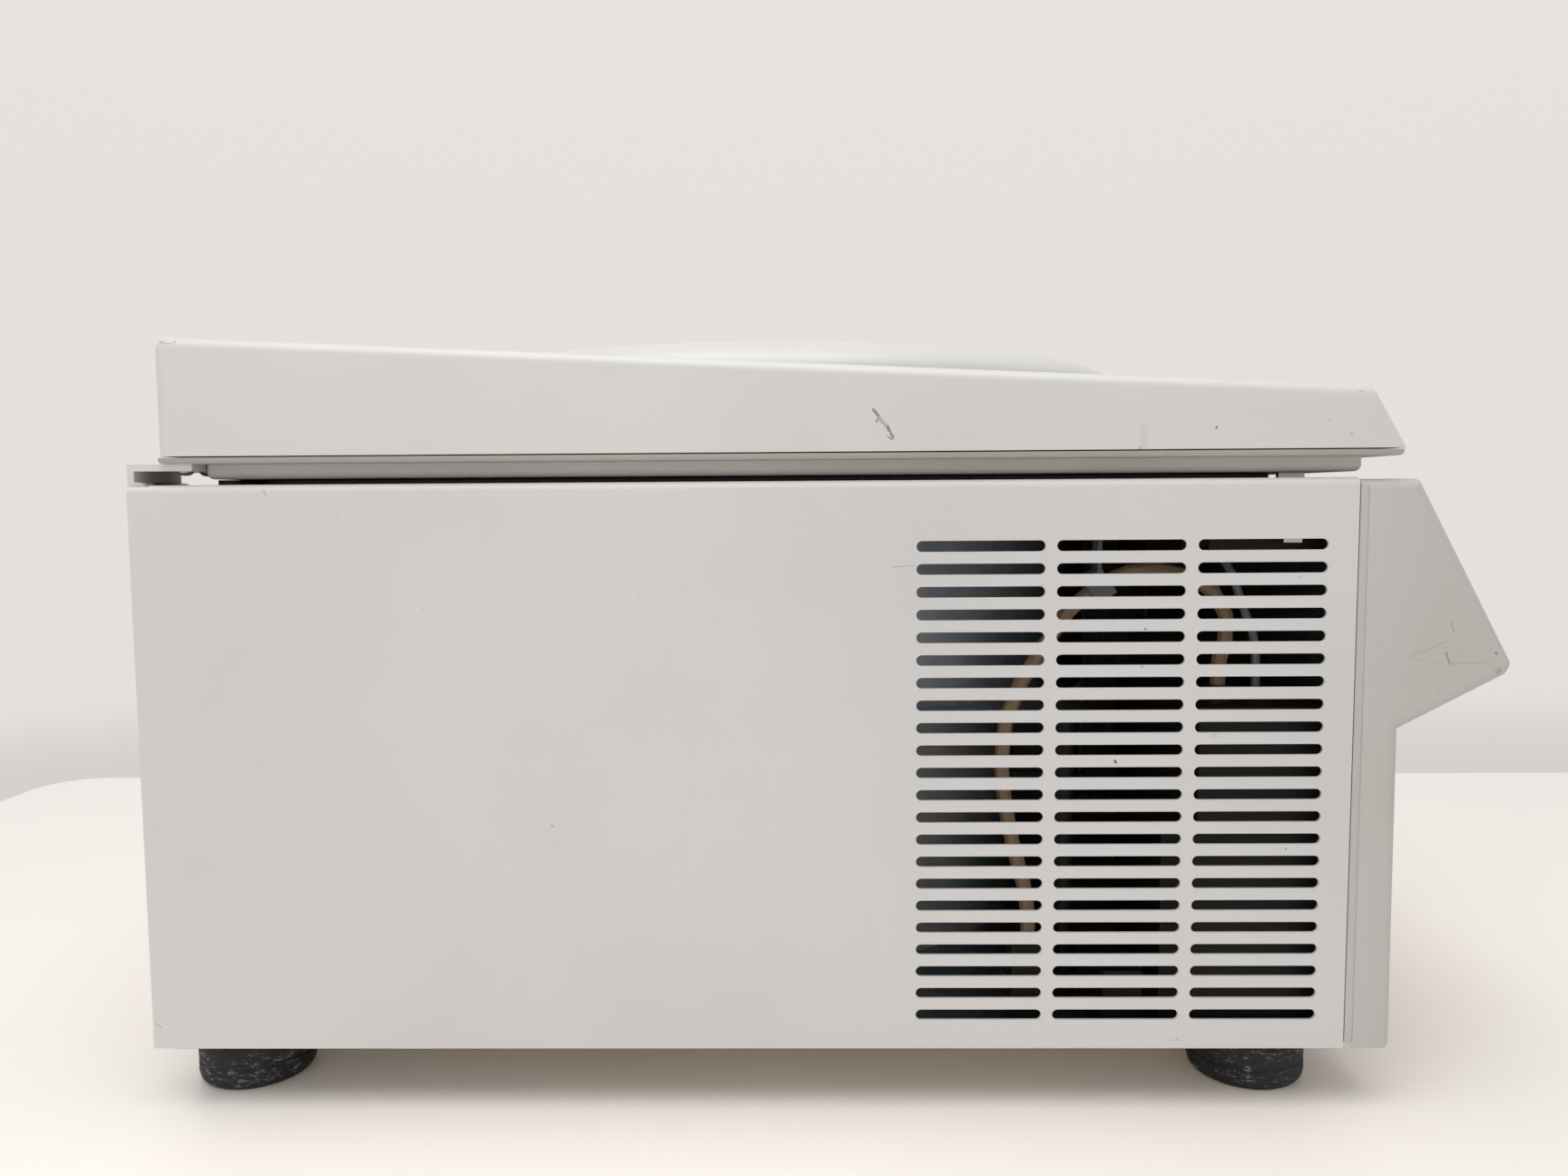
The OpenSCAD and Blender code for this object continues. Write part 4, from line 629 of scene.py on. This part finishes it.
caps = [("start_button", tint(58, 150, 88), tint(50, 138, 78), "button_green"),
        ("stop_button", tint(196, 62, 50), tint(184, 54, 44), "button_red"),
        ("pulse_button", tint(150, 154, 158), tint(141, 145, 149), "button_grey"),
        ("lid_button", tint(150, 154, 158), tint(141, 145, 149), "button_grey")]
white_print = moulding("cap print", tint(236, 236, 232), tint(228, 228, 224), 0.4, grain=2200.0)
symbols = {"start_button": [[(-2.6, -3.6), (4.0, 0), (-2.6, 3.6)]],
           "stop_button": [box_outline(6, 6, 0.4)],
           "pulse_button": [[(-4, -3), (-0.5, 0), (-4, 3)], [(0.5, -3), (4, 0), (0.5, 3)]],
           "lid_button": [[(-4, -0.4), (4, -0.4), (0, 3.8)], [(-4, -3), (4, -3), (4, -1.6), (-4, -1.6)]]}
for x, (name, light, dark, slot) in zip(button_x, caps):
    cap = turned([(0, -0.0054), (0.0105, -0.0054), (0.0105, -0.0041), (0.0085, -0.0041), (0.0085, -0.0009),
                  (0.0082, -0.0005), (0.0076, -0.0003), (0.0066, -0.0005), (0.004, -0.0008), (0, -0.0009)],
                 (0, 0, 0), 64, panel_frame @ Matrix.Translation((x / 1000, button_y / 1000, 0)))
    cap_finish = moulding(name.replace("_", " "), light, dark, 0.32, grain=1600.0, depth=0.00002)
    fitted(name.replace("_button", "_cap"), settled(cap, name), cap_finish, name, slot, name)
    mark = [[(x + p[0] * 0.75, button_y + p[1] * 0.75) for p in shape] for shape in symbols[name]]
    printed(name.replace("_button", "_symbol"), mark, -0.92, -0.76, white_print, slot, name)

board_look = Finish("circuit board")
where = board_look.place()
board_green = board_look.mixed(board_look.cloud(where, 300.0), tint(30, 92, 58), tint(24, 80, 48))
board = board_look.surface(Base_Color=board_green, Roughness=0.4)
dressed(board, "control_board")


# ---------------------------------------------------------------- feet
# Four turned rubber feet, scuffed grey round their sides, each held by a screw that
# sits up in its recess.
look = Finish("foot rubber")
where = look.place()
stretch = look.stretched(where, (1.0, 1.0, 3.4))
worn = look.between(look.cloud(stretch, 26.0, 3.0), 0.38, 0.62)
lines = look.between(look.cloud(stretch, 210.0, 9.0, 0.82), 0.545, 0.585)
scuff = lines * worn
dust = look.cloud(where, 60.0, 5.0, 0.7)
colour = look.mixed(look.between(dust, 0.35, 0.72), tint(18, 18, 21), tint(36, 36, 41))
colour = look.mixed(scuff * 0.8, colour, tint(150, 150, 151))
foot_rubber = look.surface(Base_Color=colour, Roughness=0.72 - scuff * 0.12,
                           Normal=look.relief(look.cloud(stretch, 260.0, 6.0, 0.75), 0.0005, 0.7))
places = {"foot_front_left": (-0.2, middle - 0.239), "foot_front_right": (0.2, middle - 0.239),
          "foot_rear_left": (-0.2, middle + 0.239), "foot_rear_right": (0.2, middle + 0.239)}
foot_profile = [(0.008, 0.0), (0.0225, 0.0), (0.0245, 0.0006), (0.0258, 0.0022), (0.0265, 0.0048),
                (0.0264, 0.0090), (0.0258, 0.0098), (0.0258, 0.0106), (0.0264, 0.0114), (0.0265, 0.0192),
                (0.0261, 0.0206), (0.0250, 0.0218), (0.0248, 0.0262), (0.0243, 0.0270), (0.0016, 0.0270),
                (0.0016, 0.0180), (0.008, 0.0180)]
for name, (x, y) in places.items():
    fitted(name + "_pad", settled(turned(foot_profile, (x, y, 0), 72), name), foot_rubber, "base",
           "foot_rubber", name)


# ---------------------------------------------------------------- gasket and bumpers
# A soft black rubber cord of half-round section stuck round the deck, and two flat
# rubber bumpers behind it for the lid's rear.
class Tree:
    """A geometry node tree with named size inputs."""

    def __init__(self, name, **sizes):
        self.tree = bpy.data.node_groups.new(name, "GeometryNodeTree")
        self.tree.interface.new_socket("Geometry", in_out="INPUT", socket_type="NodeSocketGeometry")
        self.sizes = sizes
        for size, value in sizes.items():
            kind = "NodeSocketVector" if isinstance(value, tuple) else (
                "NodeSocketInt" if isinstance(value, int) else "NodeSocketFloat")
            self.tree.interface.new_socket(size.replace("_", " "), in_out="INPUT", socket_type=kind)
        self.tree.interface.new_socket("Geometry", in_out="OUTPUT", socket_type="NodeSocketGeometry")
        self.source = self.tree.nodes.new("NodeGroupInput")

    def size(self, name):
        return self.source.outputs[name.replace("_", " ")]

    def add(self, kind, settings=None, out=0, **sockets):
        node = self.tree.nodes.new(kind)
        for key, value in (settings or {}).items():
            setattr(node, key, value)
        for key, value in sockets.items():
            target = node.inputs[int(key[1:])] if key[0] == "i" and key[1:].isdigit() else node.inputs[
                key.replace("_", " ")]
            for one in value if isinstance(value, list) else [value]:
                if isinstance(one, bpy.types.NodeSocket):
                    self.tree.links.new(one, target)
                else:
                    target.default_value = one
        return node.outputs[out]

    def made(self, base, finish, geometry, angle=32):
        """Runs the tree on a base mesh and returns the plain mesh it gives."""
        joined = self.add("GeometryNodeRealizeInstances", Geometry=geometry)
        coated = self.add("GeometryNodeSetMaterial", Geometry=joined, Material=finish)
        out = self.tree.nodes.new("NodeGroupOutput")
        self.tree.links.new(coated, out.inputs[0])
        holder = bpy.data.objects.new("working holder", base)
        bpy.context.scene.collection.objects.link(holder)
        step = holder.modifiers.new("tree", "NODES")
        step.node_group = self.tree
        for socket in self.tree.interface.items_tree:
            key = socket.name.replace(" ", "_")
            if socket.in_out == "INPUT" and key in self.sizes:
                step[socket.identifier] = self.sizes[key]
        mesh = bpy.data.meshes.new_from_object(
            holder.evaluated_get(bpy.context.evaluated_depsgraph_get()))
        bpy.data.objects.remove(holder)
        for polygon in mesh.polygons:
            polygon.use_smooth = True
        mesh.set_sharp_from_angle(angle=math.radians(angle))
        return mesh


look = Finish("seal rubber")
where = look.place()
bloom = look.cloud(where, 60.0, 4.0)
seal_rubber = look.surface(Base_Color=look.mixed(bloom, tint(26, 26, 27), tint(40, 40, 41)),
                           Roughness=0.55 + bloom * 0.2,
                           Normal=look.relief(look.cloud(where, 700.0, 3.0), 0.0001, 0.5))
seal = Tree("deck seal", Width=0.428, Length=0.460, Corner=0.018, Section=0.008, Height=0.0024,
            Centre=(0, middle - 0.010, 0.2823))
path = seal.add("GeometryNodeCurvePrimitiveQuadrilateral", Width=seal.size("Width"),
                Height=seal.size("Length"))
path = seal.add("GeometryNodeFilletCurve", {"mode": "POLY"}, Curve=path, Radius=seal.size("Corner"), Count=12)
half_round = seal.add("GeometryNodeCurvePrimitiveQuadrilateral", Width=seal.size("Section"),
                      Height=seal.size("Height"))
half_round = seal.add("GeometryNodeFilletCurve", {"mode": "POLY"}, Curve=half_round, Radius=0.0011, Count=4)
strip = seal.add("GeometryNodeCurveToMesh", Curve=path, Profile_Curve=half_round)
strip = seal.add("GeometryNodeTransform", Geometry=strip, Translation=seal.size("Centre"))
seal_mesh = seal.made(bpy.data.meshes.new("seal base"), seal_rubber, strip, 50)
raise_by = 0.2823 - min(v.co.z for v in seal_mesh.vertices)
for v in seal_mesh.vertices:
    v.co.z += raise_by
fitted("deck_seal", seal_mesh, seal_rubber, "base", "seal_rubber", "deck_gasket")
dressed(seal_rubber, "lid_bumpers", "motor_dampers", "shaft_seal")


# ---------------------------------------------------------------- screws
# Zinc-plated pan-head screws with a cross recess: six in the rear panel, two up in
# each hinge bracket and one in each foot.
def metal(name, light, dark, rough, grain=(1, 1, 1), scale=300.0, depth=0.00003, metallic=1.0, patch=12.0,
          shaded=False):
    """Metal with a fine directional grain, cloudy plating and slightly uneven gloss. A
    shaded one carries painted shade: its colour darkens toward the front."""
    look = Finish(name)
    where = look.place()
    lines = look.cloud(look.stretched(where, grain), scale, 4.0, 0.6)
    spangle = look.cloud(where, patch, 4.0, 0.6)
    colour = look.mixed(look.between(spangle, 0.3, 0.72), light, dark)
    if shaded:
        # Painted shade: the colour darkens toward the front.
        forward = look.node("SeparateXYZ", {}, where, out="Y") * -1.0 + (spangle - 0.5) * 0.02
        colour = look.mixed(look.between(forward, 0.055, 0.155), colour, tint(26, 28, 32))
    return look.surface(Base_Color=colour, Metallic=metallic,
                        Roughness=rough + (lines - 0.5) * 0.18 + (spangle - 0.5) * 0.12,
                        Normal=look.relief(lines, depth, 0.5))


screw_zinc = metal("screw zinc", tint(196, 198, 203), tint(172, 174, 180), 0.32, scale=900.0)


def screws(name, places, toward, body, replaced, head=0.0035, height=0.002, shank=0.0015, length=0.0035):
    """Screws on points, all facing one way; the tree's sizes are the screw's."""
    base = bpy.data.meshes.new("screw places")
    base.from_pydata(places, [], [])
    turn = Vector((0, 0, 1)).rotation_difference(Vector(toward)).to_euler()
    tree = Tree(name + " tree", Head_Radius=head, Head_Height=height, Shank_Radius=shank,
                Shank_Length=length, Facing=tuple(turn))
    cap = tree.add("GeometryNodeMeshCylinder", Vertices=28, Radius=tree.size("Head_Radius"),
                   Depth=tree.size("Head_Height"))
    dome_top = tree.add("GeometryNodeMeshUVSphere", Segments=28, Rings=14, Radius=tree.size("Head_Radius"))
    bulge = tree.add("GeometryNodeTransform", Geometry=dome_top, Scale=(1.0, 1.0, height * 0.98 / head),
                     Translation=(0, 0, -height / 2))
    cap = tree.add("GeometryNodeMeshBoolean", {"operation": "INTERSECT", "solver": "EXACT"},
                   Mesh_2=[cap, bulge])
    bars = [tree.add("GeometryNodeMeshCube", Size=(head * a, head * b, height))
            for a, b in ((1.1, 0.26), (0.26, 1.1))]
    for bar in bars:
        raised = tree.add("GeometryNodeTransform", Geometry=bar, Translation=(0, 0, height * 0.62))
        cap = tree.add("GeometryNodeMeshBoolean", {"operation": "DIFFERENCE", "solver": "EXACT"}, Mesh_1=cap,
                       Mesh_2=raised)
    cap = tree.add("GeometryNodeTransform", Geometry=cap, Translation=(0, 0, height / 2))
    stem = tree.add("GeometryNodeMeshCylinder", Vertices=16, Radius=tree.size("Shank_Radius"),
                    Depth=tree.size("Shank_Length"))
    stem = tree.add("GeometryNodeTransform", Geometry=stem, Translation=(0, 0, -length / 2))
    whole = tree.add("GeometryNodeJoinGeometry", Geometry=[cap, stem])
    set_out = tree.add("GeometryNodeInstanceOnPoints", Points=tree.source.outputs[0], Instance=whole,
                       Rotation=tree.size("Facing"))
    mesh = tree.made(base, screw_zinc, set_out)
    fitted(name, mesh, screw_zinc, body, "screw_steel", replaced)


rear_y = middle + 0.25875
screws("panel_screws", [(x, rear_y, z) for x in (-0.2245, 0, 0.2245) for z in (0.0585, 0.2208)], (0, 1, 0),
       "base", "case_screws")
screws("bracket_screws", [(s * 0.217 + d, middle + 0.248, 0.2885) for s in (-1, 1) for d in (-0.01, 0.01)],
       (0, 0, -1), "lid", "hinge_screws")
screws("foot_fixings", [(x, y, 0.018) for x, y in places.values()], (0, 0, -1), "base", "foot_screws",
       head=0.006, height=0.003, length=0.0105)


# ---------------------------------------------------------------- hinges and latch
# Bent brackets, painted like the casing, on ground pins at the rear, and the latch: a
# steel bar in black guides that locks two strikers under the lid.
hinge_zinc = metal("hinge zinc", tint(150, 151, 152), tint(128, 129, 130), 0.42, grain=(0.1, 1, 1),
                   scale=500.0)
dressed(hinge_zinc, "hinge_mounts")
dressed(casing_paint, "hinge_bracket_left", "hinge_bracket_right")
ground_steel = metal("ground steel", tint(206, 208, 211), tint(188, 190, 194), 0.24, grain=(1, 1, 0.06),
                     scale=700.0)
dressed(ground_steel, "hinge_pins", "lid_strikers", "latch_bar", "drive_shaft", "motor_core",
        "motor_bearings")
black_plastic = moulding("black moulding", tint(15, 15, 17), tint(11, 11, 13), 0.6, grain=1100.0)
# Behind the vents the drive box and drive bracket are black to keep that space dark, a painted shade.
dressed(black_plastic, "latch_guides", "latch_motor", "drive_box", "fan_frame", "fan_impeller", "power_entry",
        "mains_switch", "fuse_drawer", "rotor_nut", "drive_bracket")


# ---------------------------------------------------------------- rotor chamber
# A spun stainless bowl inside a thick rolled guard ring, on a plate and four black
# posts, with a sheet shroud round the drive below it.
bowl_steel = metal("spun stainless", tint(205, 207, 209), tint(190, 192, 195), 0.22, grain=(1, 1, 6),
                   scale=260.0)
dressed(bowl_steel, "bowl")
# The guard ring, chamber plate and shroud carry painted shade, darker toward the front.
rolled_steel = metal("rolled zinc steel", tint(196, 203, 212), tint(170, 178, 188), 0.42, grain=(1, 1, 0.12),
                     scale=420.0, metallic=0.45, patch=26.0, shaded=True)
dressed(rolled_steel, "guard_ring", "chamber_plate")
shroud_steel = metal("shroud sheet", tint(226, 228, 230), tint(204, 208, 213), 0.42, grain=(1, 1, 0.12),
                     scale=420.0, metallic=0.15, patch=20.0, shaded=True)
dressed(shroud_steel, "drive_shroud")
pan_zinc = metal("pan zinc", tint(176, 180, 186), tint(150, 154, 162), 0.4, grain=(1, 0.1, 1), patch=30.0)
dressed(pan_zinc, "base_pan", "front_bulkhead")
black_zinc = metal("black zinc", tint(34, 35, 38), tint(26, 27, 30), 0.45, scale=500.0, metallic=0.5)
dressed(black_zinc, "chamber_posts", "motor_plate")
cast_dark = metal("motor coat", tint(88, 92, 98), tint(74, 78, 84), 0.5, scale=500.0, metallic=0.4)
dressed(cast_dark, "motor_housing")
copper = metal("wound copper", tint(196, 122, 74), tint(168, 98, 56), 0.35, grain=(1, 1, 0.1), scale=900.0)
dressed(copper, "motor_winding")


# ---------------------------------------------------------------- rotor and carriers
# A clear-anodised yoke with two arms, from whose pins two blue-anodised plate
# carriers swing out.
anodised = metal("clear anodised", tint(196, 199, 203), tint(182, 185, 190), 0.34, grain=(0.2, 1, 1),
                 scale=500.0)
dressed(anodised, "rotor_yoke")
blue_anodised = metal("blue anodised", tint(70, 96, 150), tint(60, 84, 134), 0.36, grain=(0.2, 1, 1),
                      scale=500.0, metallic=0.85)
dressed(blue_anodised, "carrier_front", "carrier_rear")


# ---------------------------------------------------------------- wiring behind the vents
# Jacketed cables that run from the drive electronics over the guard ring's side to
# the terminals, with a grey clip on a strap.
jacket = moulding("beige jacket", tint(168, 142, 112), tint(146, 120, 92), 0.45, grain=600.0)
grey_jacket = moulding("grey jacket", tint(150, 152, 156), tint(130, 132, 138), 0.45, grain=600.0)
dressed(jacket, "drive_cable")
dressed(grey_jacket, "latch_cable")
clip_grey = moulding("clip grey", tint(120, 124, 130), tint(104, 108, 114), 0.45)
dressed(clip_grey, "cable_clip")
dressed(black_plastic, "terminal_blocks")
